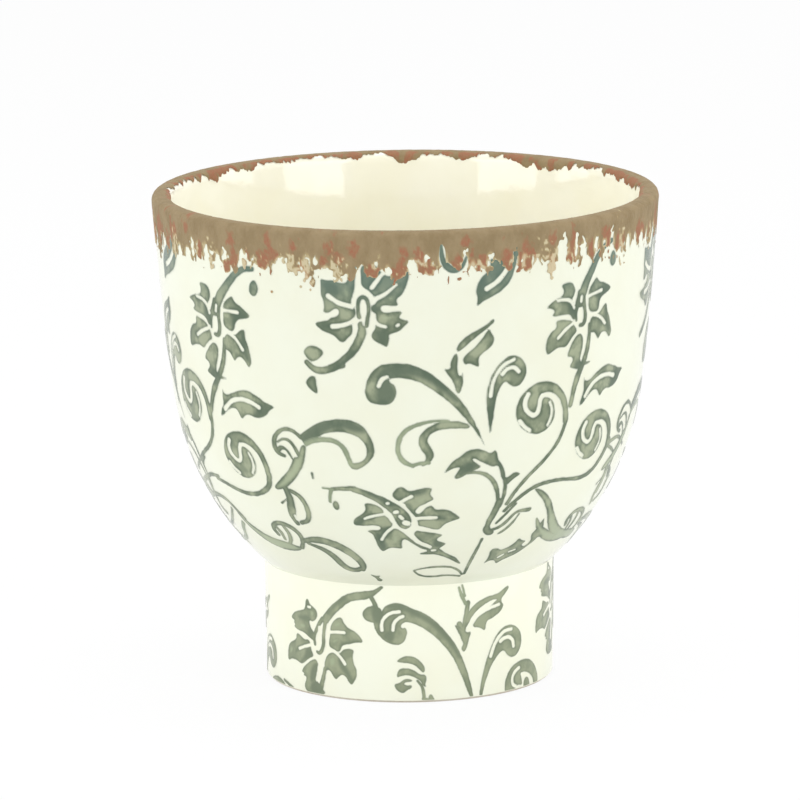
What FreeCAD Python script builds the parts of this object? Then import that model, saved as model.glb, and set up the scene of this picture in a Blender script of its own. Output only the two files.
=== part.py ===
"""Footed ceramic cachepot.

A deep clay bowl is luted with slip onto a hollow clay foot ring. A brown wash covers the rim and hangs from
it in drips, and cream glaze covers the rest of the bowl, inside and out, and the side of the foot. The pot
stands on the unglazed edge of its foot, with its axis on Z and its origin on the ground.
"""

import FreeCAD, Part
import math
import os

Vector = FreeCAD.Vector

# Bowl, millimetres and degrees, measured on the finished surface
POT_HEIGHT = 194.0
RIM_RADIUS = 100.0
WALL_LEAN = 4.1             # how far the side leans in, from upright, at the rim
RIM_BAND_HEIGHT = 24.0      # the side is straight from the rim down to here
WALL_ARC_RADIUS = 960.0     # the faint belly of the side, from the band to the shoulder
SHOULDER_HEIGHT = 117.0     # where the side turns into the round belly
WALL_THICKNESS = 9.0        # of the side and the belly
RIM_THICKNESS = 7.0         # the wall thins to this at the rim
MOUTH_LEAN = 9.5            # how far the inside leans in, from upright, at the rim
RIM_ROUNDING = 2.4
FLOOR_THICKNESS = 8.0
FLOOR_FILLET = 10.0

# Foot ring
FOOT_HEIGHT = 47.2          # the crease between the foot and the bowl
FOOT_TOP_RADIUS = 57.5
FOOT_TAPER = 0.5            # how much narrower the foot is at the ground than at the crease
FOOT_WALL = 7.5             # the bore is parallel to the side
FOOT_EDGE_ROUNDING = 0.6
FOOT_INNER_CHAMFER = 1.2

# Coats and the slip of the joint
COAT_THICKNESS = 0.5
BEAD_LEG = 5.0              # legs of the slip bead in the corner inside the foot
UNDERSIDE_MARGIN = 7.6      # round clay between the bead and the flat underside of the floor
BARE_FOOT_BAND = 0.3        # clay left bare above the eased edge of the foot

# Torn edges of the wash, as depths below the rim
OUTER_TEAR_DEPTH = 9.5      # the wash is whole down to here, and its drips hang below
OUTER_DRIP_LENGTH = 5.0
OUTER_DRIP_PITCH = 9.8
INNER_TEAR_DEPTH = 3.4
INNER_DRIP_LENGTH = 1.6
INNER_DRIP_PITCH = 13.0
DRIP_WIDTH_SHARE = 0.6            # a drip's width, as a share of the way from one drip to the next
DRIP_WIDTH_SPREAD_SHARE = 0.3     # how far the width, length and place of a drip stray from even
DRIP_LENGTH_SPREAD_SHARE = 0.55
DRIP_TURN_SPREAD_SHARE = 0.15
WAVE_RATES = (2.4, 3.9, 5.1)      # rates of the uneven waves of width, length and place, in radians a drip

RIGHT_ANGLE = math.pi / 2
AXIS_START = Vector(0, 0, 0)
AXIS_DIRECTION = Vector(0, 0, 1)


# Profile of the bowl. An angle is measured from level, downwards, at the centre of an arc.


def outward(angle):
    """Unit vector of an arc's radius at an angle, in the XZ plane."""
    return Vector(math.cos(angle), 0, -math.sin(angle))


def on_arc(centre, radius, angle):
    return centre + outward(angle) * radius


def arc(centre, radius, start, end):
    middle = (start + end) / 2
    points = [on_arc(centre, radius, angle) for angle in (start, middle, end)]
    return Part.Arc(*points).toShape()


def line(start, end):
    return Part.LineSegment(start, end).toShape()


def angle_at_height(centre, radius, height):
    return math.asin((centre.z - height) / radius)


def angle_at_radius(centre, radius, distance):
    return math.acos((distance - centre.x) / radius)


wall_lean = math.radians(WALL_LEAN)
rim_point = Vector(RIM_RADIUS, 0, POT_HEIGHT)
seat_point = Vector(FOOT_TOP_RADIUS, 0, FOOT_HEIGHT)

# The side is a straight band, then a flat arc to the shoulder, and the belly a tangent arc down to the foot.
band_point = rim_point - Vector(math.tan(wall_lean), 0, 1) * RIM_BAND_HEIGHT
side_centre = band_point - outward(wall_lean) * WALL_ARC_RADIUS
shoulder_angle = angle_at_height(side_centre, WALL_ARC_RADIUS, SHOULDER_HEIGHT)
shoulder_point = on_arc(side_centre, WALL_ARC_RADIUS, shoulder_angle)
belly_chord = seat_point - shoulder_point
belly_radius = -belly_chord.dot(belly_chord) / (2 * belly_chord.dot(outward(shoulder_angle)))
belly_centre = shoulder_point - outward(shoulder_angle) * belly_radius
seat_angle = angle_at_height(belly_centre, belly_radius, FOOT_HEIGHT)

# The rim is rounded on both edges, about centres that lie one rounding below the top and inside each face.
def rounding_centre(depth):
    """Centre of a rounding of the rim, at a depth under the outer face of the band."""
    inset = depth / math.cos(wall_lean) + RIM_ROUNDING * math.tan(wall_lean)
    return rim_point - Vector(inset, 0, RIM_ROUNDING)


lip_centre = rounding_centre(RIM_ROUNDING)
mouth_centre = rounding_centre(RIM_THICKNESS - RIM_ROUNDING)

# Inside, the side is parallel to the outside, and a hollow throat leads from it up to the rounding of the mouth.
mouth_lean = math.radians(MOUTH_LEAN)
inner_side_radius = WALL_ARC_RADIUS - WALL_THICKNESS
mouth_end = on_arc(mouth_centre, RIM_ROUNDING, mouth_lean - math.pi)
mouth_away = mouth_end - side_centre
throat_rise = inner_side_radius - mouth_away.dot(outward(mouth_lean))
throat_radius = (mouth_away.dot(mouth_away) - inner_side_radius ** 2) / (2 * throat_rise)
throat_centre = mouth_end + outward(mouth_lean) * throat_radius
throat_angle = angle_at_height(side_centre, inner_side_radius + throat_radius, throat_centre.z)

# The side and the bore of the foot are straight and parallel, and end on the round of the bowl.
foot_base_radius = FOOT_TOP_RADIUS - FOOT_TAPER
foot_slant = (seat_point - Vector(foot_base_radius, 0, 0)).normalize()


def foot_side(height, depth):
    """Point of the foot at a height, at a depth under its finished side."""
    return Vector(foot_base_radius - depth, 0, 0) + foot_slant * (height / foot_slant.z)


def foot_top(depth):
    """Point where a line of the foot, at a depth under its side, meets the underside of the bowl."""
    start = foot_side(0, depth)
    away = start - belly_centre
    along = away.dot(foot_slant)
    travel = -along - math.sqrt(along ** 2 - away.dot(away) + belly_radius ** 2)
    return start + foot_slant * travel


clay_top = foot_top(COAT_THICKNESS)
clay_top_angle = angle_at_radius(belly_centre, belly_radius, clay_top.x)
bore_top = foot_top(FOOT_WALL)
bore_top_angle = angle_at_radius(belly_centre, belly_radius, bore_top.x)

# Inside the foot, the round underside runs on past the bead to a flat cut. The floor lies above that.
clay_belly_radius = belly_radius - COAT_THICKNESS
bead_angle = bore_top_angle + BEAD_LEG / clay_belly_radius
underside_angle = bead_angle + UNDERSIDE_MARGIN / clay_belly_radius
underside_edge = on_arc(belly_centre, clay_belly_radius, underside_angle)
floor_height = underside_edge.z + FLOOR_THICKNESS

# The floor fillet touches the flat floor and the inside of the belly.
inner_belly_radius = belly_radius - WALL_THICKNESS
fillet_path_radius = inner_belly_radius - FLOOR_FILLET
fillet_angle = angle_at_height(belly_centre, fillet_path_radius, floor_height + FLOOR_FILLET)
fillet_centre = on_arc(belly_centre, fillet_path_radius, fillet_angle)


def outer_line(depth):
    """Edges from the foot, up the outside and onto the middle of the rim, at a depth under the surface."""
    rounding = RIM_ROUNDING - depth
    side_radius = WALL_ARC_RADIUS - depth
    return [
        arc(belly_centre, belly_radius - depth, seat_angle, shoulder_angle),
        arc(side_centre, side_radius, shoulder_angle, wall_lean),
        line(on_arc(side_centre, side_radius, wall_lean), on_arc(lip_centre, rounding, wall_lean)),
        arc(lip_centre, rounding, wall_lean, -RIGHT_ANGLE),
        line(on_arc(lip_centre, rounding, -RIGHT_ANGLE), rim_middle(depth)),
    ]


def inner_line(depth):
    """Edges from the middle of the rim, down the inside and to the middle of the floor, at a depth."""
    rounding = RIM_ROUNDING - depth
    hollow = throat_radius - depth
    coat_floor = floor_height - depth
    return [
        line(rim_middle(depth), on_arc(mouth_centre, rounding, -RIGHT_ANGLE)),
        arc(mouth_centre, rounding, -RIGHT_ANGLE, mouth_lean - math.pi),
        arc(throat_centre, hollow, mouth_lean - math.pi, throat_angle - math.pi),
        arc(side_centre, inner_side_radius + depth, throat_angle, shoulder_angle),
        arc(belly_centre, inner_belly_radius + depth, shoulder_angle, fillet_angle),
        arc(fillet_centre, FLOOR_FILLET + depth, fillet_angle, RIGHT_ANGLE),
        line(Vector(fillet_centre.x, 0, coat_floor), Vector(0, 0, coat_floor)),
    ]


def rim_middle(depth):
    return Vector((lip_centre.x + mouth_centre.x) / 2, 0, POT_HEIGHT - depth)


def turned(edges):
    """Solid of revolution about Z of a closed outline in the XZ plane."""
    wire = Part.Wire(Part.__sortEdges__(edges))
    return Part.Face(wire).revolve(AXIS_START, AXIS_DIRECTION, 360)


# Clay bowl, foot and slip


def make_bowl_body():
    """Clay bowl, with the flat underside of its floor inside the foot."""
    clay_floor = Vector(0, 0, floor_height - COAT_THICKNESS)
    underside = Vector(0, 0, underside_edge.z)
    return turned(outer_line(COAT_THICKNESS) + inner_line(COAT_THICKNESS) + [
        line(clay_floor, underside),
        line(underside, underside_edge),
        arc(belly_centre, clay_belly_radius, underside_angle, seat_angle),
    ])


def make_foot_ring():
    """Clay ring, cut to the round of the bowl at the top, with its edges eased where it stands."""
    side_end = foot_side(FOOT_EDGE_ROUNDING, COAT_THICKNESS)
    ground_start = Vector(side_end.x - FOOT_EDGE_ROUNDING, 0, 0)
    edge_centre = Vector(ground_start.x, 0, FOOT_EDGE_ROUNDING)
    bore_start = foot_side(FOOT_INNER_CHAMFER, FOOT_WALL)
    ground_end = Vector(bore_start.x + FOOT_INNER_CHAMFER, 0, 0)
    return turned([
        line(clay_top, side_end),
        arc(edge_centre, FOOT_EDGE_ROUNDING, 0, RIGHT_ANGLE),
        line(ground_start, ground_end),
        line(ground_end, bore_start),
        line(bore_start, bore_top),
        arc(belly_centre, belly_radius, bore_top_angle, clay_top_angle),
    ])


def make_slip_joint():
    """Slip between the foot and the bowl, squeezed out and smoothed to a bead inside the foot."""
    corner = on_arc(belly_centre, clay_belly_radius, bore_top_angle)
    bead_foot = bore_top - foot_slant * BEAD_LEG
    bead_bowl = on_arc(belly_centre, clay_belly_radius, bead_angle)
    chord_middle = (bead_foot + bead_bowl) / 2
    hollow = chord_middle + (corner - chord_middle) / 3
    return turned([
        arc(belly_centre, belly_radius, seat_angle, bore_top_angle),
        line(bore_top, bead_foot),
        Part.Arc(bead_foot, hollow, bead_bowl).toShape(),
        arc(belly_centre, clay_belly_radius, bead_angle, seat_angle),
        line(on_arc(belly_centre, clay_belly_radius, seat_angle), seat_point),
    ])


# Coats


def wash_space(near_radius, far_radius, depth, length, pitch):
    """Space the wash takes on one side of the rim: a ring, and uneven drips that hang from it."""
    width_rate, length_rate, turn_rate = WAVE_RATES
    bottom = POT_HEIGHT - depth
    corners = [Vector(near_radius, 0, bottom), Vector(far_radius, 0, bottom)]
    corners += [Vector(far_radius, 0, POT_HEIGHT + depth), Vector(near_radius, 0, POT_HEIGHT + depth)]
    ring = turned([line(start, end) for start, end in zip(corners, corners[1:] + corners[:1])])
    drips = round(2 * math.pi * RIM_RADIUS / pitch)
    drops = []
    for drip in range(drips):
        width = pitch * DRIP_WIDTH_SHARE * (1 + DRIP_WIDTH_SPREAD_SHARE * math.sin(width_rate * drip))
        half_width = width / 2
        reach = length * (1 + DRIP_LENGTH_SPREAD_SHARE * math.sin(length_rate * drip))
        turn = 360 * (drip + DRIP_TURN_SPREAD_SHARE * math.sin(turn_rate * drip)) / drips
        tip = Vector(near_radius + COAT_THICKNESS, 0, bottom - reach)
        middle = tip + Vector(0, 0, half_width)
        root = middle + Vector(0, 0, reach)
        side = Vector(0, half_width, 0)
        outline = Part.Wire([
            line(root - side, root + side),
            line(root + side, middle + side),
            Part.Arc(middle + side, tip, middle - side).toShape(),
            line(middle - side, root - side),
        ])
        drop = Part.Face(outline).extrude(Vector(far_radius - near_radius, 0, 0))
        drop.rotate(AXIS_START, AXIS_DIRECTION, turn)
        drops.append(drop)
    return ring.multiFuse(drops)


def make_bowl_coats():
    """Outer glaze, rim wash and lining glaze: one even coat, parted where the drips of the wash end."""
    overlap = COAT_THICKNESS
    middle_radius = rim_middle(0).x
    outer_air = RIM_RADIUS + WALL_THICKNESS
    inner_air = RIM_RADIUS - 2 * WALL_THICKNESS
    rim_cut = line(rim_middle(0), rim_middle(COAT_THICKNESS))
    seat_cut = line(seat_point, on_arc(belly_centre, clay_belly_radius, seat_angle))
    floor_cut = line(Vector(0, 0, floor_height), Vector(0, 0, floor_height - COAT_THICKNESS))
    outer_coat = turned(outer_line(0) + [rim_cut] + outer_line(COAT_THICKNESS) + [seat_cut])
    inner_coat = turned(inner_line(0) + [rim_cut] + inner_line(COAT_THICKNESS) + [floor_cut])
    outer_drip = (OUTER_TEAR_DEPTH, OUTER_DRIP_LENGTH, OUTER_DRIP_PITCH)
    inner_drip = (INNER_TEAR_DEPTH, INNER_DRIP_LENGTH, INNER_DRIP_PITCH)
    outside = wash_space(middle_radius - overlap, outer_air, *outer_drip)
    inside = wash_space(inner_air, middle_radius + overlap, *inner_drip)
    wash = outer_coat.common(outside).fuse(inner_coat.common(inside)).removeSplitter()
    return outer_coat.cut(outside), wash, inner_coat.cut(inside)


def make_foot_glaze():
    """Glaze on the side of the foot, wiped off just above its eased edge."""
    wiped_height = FOOT_EDGE_ROUNDING + BARE_FOOT_BAND
    under_end = foot_side(wiped_height, COAT_THICKNESS)
    finished_end = foot_side(wiped_height, 0)
    return turned([
        arc(belly_centre, belly_radius, seat_angle, clay_top_angle),
        line(clay_top, under_end),
        line(under_end, finished_end),
        line(finished_end, seat_point),
    ])


def main():
    outer_glaze, wash, lining_glaze = make_bowl_coats()
    nodes = {
        "bowl_body": make_bowl_body(),
        "foot_ring": make_foot_ring(),
        "slip_joint": make_slip_joint(),
        "bowl_glaze": outer_glaze,
        "rim_wash": wash,
        "lining_glaze": lining_glaze,
        "foot_glaze": make_foot_glaze(),
    }
    os.makedirs("parts", exist_ok=True)
    for name, shape in nodes.items():
        shape.exportStep(f"parts/{name}.step")
        print(name, len(shape.Solids), shape.isValid(), round(shape.Volume), "mm3")


main()
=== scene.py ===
import cmath
import math

import bpy
import numpy as np
from mathutils import Euler, Matrix, Vector, noise


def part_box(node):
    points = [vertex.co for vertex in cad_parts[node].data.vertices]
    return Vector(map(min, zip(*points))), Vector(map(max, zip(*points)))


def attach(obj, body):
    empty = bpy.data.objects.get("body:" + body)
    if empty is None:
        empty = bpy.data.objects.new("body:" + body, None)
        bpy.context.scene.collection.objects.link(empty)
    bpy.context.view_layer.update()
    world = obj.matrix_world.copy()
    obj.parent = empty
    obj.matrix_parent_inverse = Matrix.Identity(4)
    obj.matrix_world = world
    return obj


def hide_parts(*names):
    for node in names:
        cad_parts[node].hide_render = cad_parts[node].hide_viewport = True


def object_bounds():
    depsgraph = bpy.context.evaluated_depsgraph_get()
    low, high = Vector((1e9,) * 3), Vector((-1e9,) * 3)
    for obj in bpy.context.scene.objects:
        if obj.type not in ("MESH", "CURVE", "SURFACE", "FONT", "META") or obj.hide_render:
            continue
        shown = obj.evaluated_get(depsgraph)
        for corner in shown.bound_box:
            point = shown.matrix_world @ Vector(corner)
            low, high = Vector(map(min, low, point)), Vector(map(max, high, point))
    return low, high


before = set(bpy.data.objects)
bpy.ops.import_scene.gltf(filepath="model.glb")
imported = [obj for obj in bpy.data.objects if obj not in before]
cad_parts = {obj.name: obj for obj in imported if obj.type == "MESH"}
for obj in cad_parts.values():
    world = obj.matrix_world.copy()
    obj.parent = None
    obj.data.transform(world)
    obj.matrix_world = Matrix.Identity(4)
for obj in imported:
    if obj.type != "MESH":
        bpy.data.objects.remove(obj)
cad_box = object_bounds()


# Clay bowl, foot ring and the slip between them. Buff earthenware, turned on a wheel and luted together
# while leather hard. Only the edge that the pot stands on and the hollow of the foot stay bare.
CLAY_PALE = (0.76, 0.71, 0.61, 1)
CLAY_WARM = (0.64, 0.57, 0.47, 1)
SLIP_PALE = (0.68, 0.57, 0.45, 1)
SLIP_WARM = (0.57, 0.43, 0.31, 1)
CLAY_CLOUD_SIZE = 0.016
CLAY_GRAIN_SIZE = 0.0016
CLAY_GRAIN_DEPTH = 0.00015
CLAY_SPECKS = (0.75, 0.95)
CLAY_SPECK_SHARE = 0.55
CLAY_ROUGHNESS = (0.72, 0.92)
FIRED_DETAIL = {"Cloud": 3.0, "Grain": 4.0}
FIRED_ROUGHNESS = 0.55
FIRED_SPAN = (0.3, 0.7)


def add(tree, kind, sockets=None, **settings):
    """Puts a node in a tree. A socket's value is a number, a colour or another node's output."""
    made = tree.nodes.new(kind)
    for name, value in settings.items():
        setattr(made, name, value)
    for name, value in (sockets or {}).items():
        if isinstance(value, bpy.types.NodeSocket):
            tree.links.new(value, made.inputs[name])
        else:
            made.inputs[name].default_value = value
    return made


def work_out(tree, operation, first, second=0.0, third=0.0):
    """Result of a sum that a Math node does."""
    sockets = {0: first, 1: second, 2: third}
    return add(tree, "ShaderNodeMath", sockets, operation=operation).outputs[0]


def blend_colours(tree, share, first, second):
    sockets = {0: share, 6: first, 7: second}
    return add(tree, "ShaderNodeMix", sockets, data_type="RGBA").outputs[2]


def between(tree, value, low, high, start=0.0, end=1.0):
    """Value taken smoothly from low..high to start..end."""
    sockets = {"Value": value, 1: low, 2: high, 3: start, 4: end}
    return add(tree, "ShaderNodeMapRange", sockets, interpolation_type="SMOOTHSTEP").outputs[0]


def make_fired_cloud():
    """Soft clouds and fine grain that a firing leaves in clay and glaze."""
    group = bpy.data.node_groups.new("fired_cloud", "ShaderNodeTree")
    for name in ("Cloud Size", "Grain Size", "Stretch"):
        group.interface.new_socket(name, in_out="INPUT", socket_type="NodeSocketFloat")
    for name in FIRED_DETAIL:
        group.interface.new_socket(name, in_out="OUTPUT", socket_type="NodeSocketFloat")
    inputs = add(group, "NodeGroupInput").outputs
    place = add(group, "ShaderNodeTexCoord").outputs["Object"]
    squeeze = add(group, "ShaderNodeCombineXYZ", {"X": 1.0, "Y": 1.0, "Z": inputs["Stretch"]}).outputs[0]
    drawn = add(group, "ShaderNodeVectorMath", {0: place, 1: squeeze}, operation="MULTIPLY").outputs[0]
    results = add(group, "NodeGroupOutput")
    for name, detail in FIRED_DETAIL.items():
        scale = work_out(group, "DIVIDE", 1.0, inputs[name + " Size"])
        sockets = {"Vector": drawn, "Scale": scale, "Detail": detail, "Roughness": FIRED_ROUGHNESS}
        texture = add(group, "ShaderNodeTexNoise", sockets).outputs[0]
        group.links.new(between(group, texture, *FIRED_SPAN), results.inputs[name])
    return group


fired_cloud = make_fired_cloud()


def new_finish(name, cloud_size, grain_size, stretch=1.0):
    """Material with its tree, its principled shader and the outputs of its fired cloud."""
    finish = bpy.data.materials.new(name)
    finish.use_nodes = True
    tree = finish.node_tree
    cloud = add(tree, "ShaderNodeGroup", node_tree=fired_cloud)
    for socket, value in zip(cloud.inputs, (cloud_size, grain_size, stretch)):
        socket.default_value = value
    return finish, tree, tree.nodes["Principled BSDF"], cloud.outputs


def set_surface(tree, shader, cloud, colour, roughness, depth, wear="Grain"):
    """Links a colour, a roughness that follows the grain or the cloud, and the grain's relief in metres."""
    tree.links.new(colour, shader.inputs["Base Color"])
    tree.links.new(between(tree, cloud[wear], 0.0, 1.0, *roughness), shader.inputs["Roughness"])
    bump = add(tree, "ShaderNodeBump", {"Height": cloud["Grain"], "Distance": depth, "Strength": 1.0})
    tree.links.new(bump.outputs[0], shader.inputs["Normal"])


def make_clay(name, pale, warm):
    clay, tree, shader, cloud = new_finish(name, CLAY_CLOUD_SIZE, CLAY_GRAIN_SIZE)
    body = blend_colours(tree, cloud["Cloud"], pale, warm)
    speck = between(tree, cloud["Grain"], *CLAY_SPECKS, 0.0, CLAY_SPECK_SHARE)
    specked = blend_colours(tree, speck, body, CLAY_WARM)
    set_surface(tree, shader, cloud, specked, CLAY_ROUGHNESS, CLAY_GRAIN_DEPTH)
    return clay


clay = make_clay("bare_clay", CLAY_PALE, CLAY_WARM)
slip = make_clay("joining_slip", SLIP_PALE, SLIP_WARM)
for part_name, finish in (("bowl_body", clay), ("foot_ring", clay), ("slip_joint", slip)):
    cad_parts[part_name].material_slots[0].material = finish


# Outer glaze. One coat of glossy cream glaze poured over the bowl, from the rim to the crease above the
# foot. It follows the turned side: a straight band, a faint bulge, and a round belly drawn in to the foot.
RIM_RADIUS = cad_box[1].x
POT_HEIGHT = cad_box[1].z
CREASE_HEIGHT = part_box("bowl_glaze")[0].z
FOOT_TOP_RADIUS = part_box("foot_glaze")[1].x
WALL_LEAN = math.radians(4.1)
RIM_BAND_HEIGHT = 0.024
WALL_ARC_RADIUS = 0.960
SHOULDER_HEIGHT = 0.117
RIM_THICKNESS = 0.007
RIM_ROUNDING = 0.0024
PROFILE_STEP = 0.0008
FEWEST_POINTS = 4
COAT_CELL = 0.0022
# The bowl's cream is set darker than the lining's and the foot's, whose lighter copies are painted light
CREAM = (0.790, 0.810, 0.675, 1)
CREAM_WARM = (0.775, 0.785, 0.635, 1)
GLAZE_IOR = 1.6
CREAM_CLOUD_SIZE = 0.03
GLAZE_RIPPLE_SIZE = 0.007
GLAZE_RIPPLE_DEPTH = 0.00002
GLAZE_ROUGHNESS = (0.04, 0.08)
# Waves of a poured coat: size across, size along the profile, and a seed
GLAZE_WAVES = (0.02, 0.03, 3.7)
SEAM_WELD = 0.00001


def outward(angle):
    """Unit vector of an arc's radius, as radius and height in one complex number, downwards from level."""
    return cmath.exp(-1j * angle)


def arc_points(centre, radius, start, end):
    count = max(FEWEST_POINTS, math.ceil(abs(end - start) * radius / PROFILE_STEP))
    return centre + radius * np.exp(-1j * np.linspace(start, end, count))


def line_points(start, end):
    return np.linspace(start, end, max(FEWEST_POINTS, math.ceil(abs(end - start) / PROFILE_STEP)))


up_angle = -math.pi / 2
rim_corner = RIM_RADIUS + 1j * POT_HEIGHT
band_foot = rim_corner - (math.tan(WALL_LEAN) + 1j) * RIM_BAND_HEIGHT
side_centre = band_foot - outward(WALL_LEAN) * WALL_ARC_RADIUS
shoulder_angle = math.asin((side_centre.imag - SHOULDER_HEIGHT) / WALL_ARC_RADIUS)
shoulder = side_centre + outward(shoulder_angle) * WALL_ARC_RADIUS
crease = FOOT_TOP_RADIUS + 1j * CREASE_HEIGHT
belly_chord = crease - shoulder
belly_radius = -abs(belly_chord) ** 2 / (2 * (belly_chord * outward(-shoulder_angle)).real)
belly_centre = shoulder - outward(shoulder_angle) * belly_radius
crease_angle = math.asin((belly_centre.imag - CREASE_HEIGHT) / belly_radius)


def rim_rounding_centre(depth):
    inset = depth / math.cos(WALL_LEAN) + RIM_ROUNDING * math.tan(WALL_LEAN)
    return rim_corner - inset - 1j * RIM_ROUNDING


lip_centre = rim_rounding_centre(RIM_ROUNDING)
mouth_centre = rim_rounding_centre(RIM_THICKNESS - RIM_ROUNDING)
rim_middle = (lip_centre + mouth_centre) / 2 + 1j * RIM_ROUNDING
outer_points = np.concatenate([
    line_points(rim_middle, lip_centre + 1j * RIM_ROUNDING),
    arc_points(lip_centre, RIM_ROUNDING, up_angle, WALL_LEAN),
    line_points(lip_centre + RIM_ROUNDING * outward(WALL_LEAN), band_foot),
    arc_points(side_centre, WALL_ARC_RADIUS, WALL_LEAN, shoulder_angle),
    arc_points(belly_centre, belly_radius, shoulder_angle, crease_angle),
])


def lengths_along(points):
    return np.concatenate([[0], np.cumsum(np.abs(np.diff(points)))])


def make_profile(name, points):
    """Guide in the XZ plane that the wheel turns, which isn't shown, and its points without doubles."""
    keep = np.concatenate([[True], np.abs(np.diff(points)) > PROFILE_STEP / 100])
    curve = bpy.data.curves.new(name, "CURVE")
    curve.dimensions = "3D"
    spline = curve.splines.new("POLY")
    spline.points.add(int(keep.sum()) - 1)
    for place, point in zip(spline.points, points[keep]):
        place.co = (point.real, 0, point.imag, 1)
    return bpy.data.objects.new(name, curve), points[keep]


def make_wheel():
    """Throws flat work onto the turned profile. X of the flat work is the angle to the right of the front,
    Y the way along the profile and Z the height above its surface. Copies are set evenly round the axis."""
    tree = bpy.data.node_groups.new("throw_on_wheel", "GeometryNodeTree")
    kinds = {"Geometry": "Geometry", "Profile": "Object", "Copies": "Int", "Finish": "Material"}
    for name, kind in kinds.items():
        tree.interface.new_socket(name, in_out="INPUT", socket_type="NodeSocket" + kind)
    tree.interface.new_socket("Geometry", in_out="OUTPUT", socket_type="NodeSocketGeometry")
    inputs = add(tree, "NodeGroupInput").outputs
    guide = add(tree, "GeometryNodeObjectInfo", {"Object": inputs["Profile"]}).outputs["Geometry"]
    position = add(tree, "GeometryNodeInputPosition").outputs[0]
    flat = add(tree, "ShaderNodeSeparateXYZ", {0: position}).outputs
    sockets = {"Curves": guide, "Length": flat["Y"]}
    spot = add(tree, "GeometryNodeSampleCurve", sockets, mode="LENGTH").outputs
    across = {0: spot["Tangent"], 1: (0, 1, 0)}
    normal = add(tree, "ShaderNodeVectorMath", across, operation="CROSS_PRODUCT").outputs[0]
    lift = add(tree, "ShaderNodeVectorMath", {0: normal, "Scale": flat["Z"]}, operation="SCALE").outputs[0]
    lifted = add(tree, "ShaderNodeVectorMath", {0: spot["Position"], 1: lift}, operation="ADD").outputs[0]
    turn = work_out(tree, "SUBTRACT", flat["X"], math.pi / 2)
    sockets = {"Vector": lifted, "Angle": turn}
    thrown = add(tree, "ShaderNodeVectorRotate", sockets, rotation_type="Z_AXIS").outputs[0]
    sockets = {"Geometry": inputs["Geometry"], "Position": thrown}
    work = add(tree, "GeometryNodeSetPosition", sockets).outputs[0]
    places = add(tree, "GeometryNodeMeshLine", {"Count": inputs["Copies"], "Offset": (0, 0, 0)}).outputs[0]
    step = work_out(tree, "DIVIDE", 2 * math.pi, inputs["Copies"])
    index = add(tree, "GeometryNodeInputIndex").outputs[0]
    turns = add(tree, "ShaderNodeCombineXYZ", {"Z": work_out(tree, "MULTIPLY", index, step)}).outputs[0]
    sockets = {"Points": places, "Instance": work, "Rotation": turns}
    copies = add(tree, "GeometryNodeInstanceOnPoints", sockets).outputs[0]
    whole = add(tree, "GeometryNodeRealizeInstances", {0: copies}).outputs[0]
    sockets = {"Geometry": whole, "Distance": SEAM_WELD}
    closed = add(tree, "GeometryNodeMergeByDistance", sockets).outputs[0]
    smooth = add(tree, "GeometryNodeSetShadeSmooth", {"Geometry": closed}).outputs[0]
    sockets = {"Geometry": smooth, "Material": inputs["Finish"]}
    finished = add(tree, "GeometryNodeSetMaterial", sockets).outputs[0]
    add(tree, "NodeGroupOutput", {0: finished})
    return tree


wheel = make_wheel()


def throw(name, flat_mesh, profile, finish, copies=1):
    """Piece made of flat work thrown onto a profile, as a plain mesh at the origin."""
    piece = bpy.data.objects.new(name, flat_mesh)
    bpy.context.scene.collection.objects.link(piece)
    turning = piece.modifiers.new("wheel", "NODES")
    turning.node_group = wheel
    values = {"Profile": profile, "Copies": copies, "Finish": finish}
    for item in wheel.interface.items_tree:
        if item.in_out == "INPUT" and item.name in values:
            turning[item.identifier] = values[item.name]
    depsgraph = bpy.context.evaluated_depsgraph_get()
    made = bpy.data.meshes.new_from_object(
        piece.evaluated_get(depsgraph), preserve_all_data_layers=True, depsgraph=depsgraph)
    piece.modifiers.remove(turning)
    piece.data = made
    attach(piece, "root")
    return piece


def cut_from_sheet(name, field, across, along, lift, marks=None):
    """Flat mesh of a sheet where its field is above zero, cut where the field passes zero. Rows of the
    arrays lie along the profile and columns across. Lift is a height for each place, and marks are named
    values, which the mesh keeps as attributes."""
    values = {"across": np.broadcast_to(across, field.shape), "lift": lift, **(marks or {})}
    values["along"] = np.broadcast_to(along[:, None], field.shape)
    inside = field > 0
    rows = {key: [value[inside]] for key, value in values.items()}
    corner = np.where(inside, np.cumsum(inside).reshape(field.shape) - 1, -1)
    total = int(inside.sum())
    crossings = []
    for axis in (1, 0):
        near = [slice(None), slice(None)]
        far = [slice(None), slice(None)]
        near[axis], far[axis] = slice(None, -1), slice(1, None)
        near, far = tuple(near), tuple(far)
        cut = inside[near] != inside[far]
        share = field[near][cut] / (field[near][cut] - field[far][cut])
        for key, value in values.items():
            rows[key].append(value[near][cut] * (1 - share) + value[far][cut] * share)
        crossings.append(np.where(cut, np.cumsum(cut).reshape(cut.shape) - 1 + total, -1))
        total += int(cut.sum())
    beside, below = crossings
    # Corners and crossings of every cell, in order round it
    ring = np.stack([
        corner[:-1, :-1], below[:, :-1], corner[1:, :-1], beside[1:], corner[1:, 1:], below[:, 1:],
        corner[:-1, 1:], beside[:-1]]).reshape(8, -1)
    present = ring >= 0
    code = (present * (1 << np.arange(8))[:, None]).sum(0)
    faces = []
    for kind in np.unique(code[code > 0]):
        cells = code == kind
        faces += ring[:, cells][present[:, cells][:, 0]].T.tolist()
    flat = {key: np.concatenate(parts) for key, parts in rows.items()}
    mesh = bpy.data.meshes.new(name)
    points = np.stack([flat["across"], flat["along"], flat["lift"]], 1)
    mesh.from_pydata(points.tolist(), [], faces)
    for key in marks or {}:
        mesh.attributes.new(key, "FLOAT", "POINT").data.foreach_set("value", flat[key].astype(np.float32))
    return mesh


def whole_turn(cell):
    count = round(2 * math.pi * RIM_RADIUS / cell)
    return np.linspace(-math.pi, math.pi, count + 1)


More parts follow.
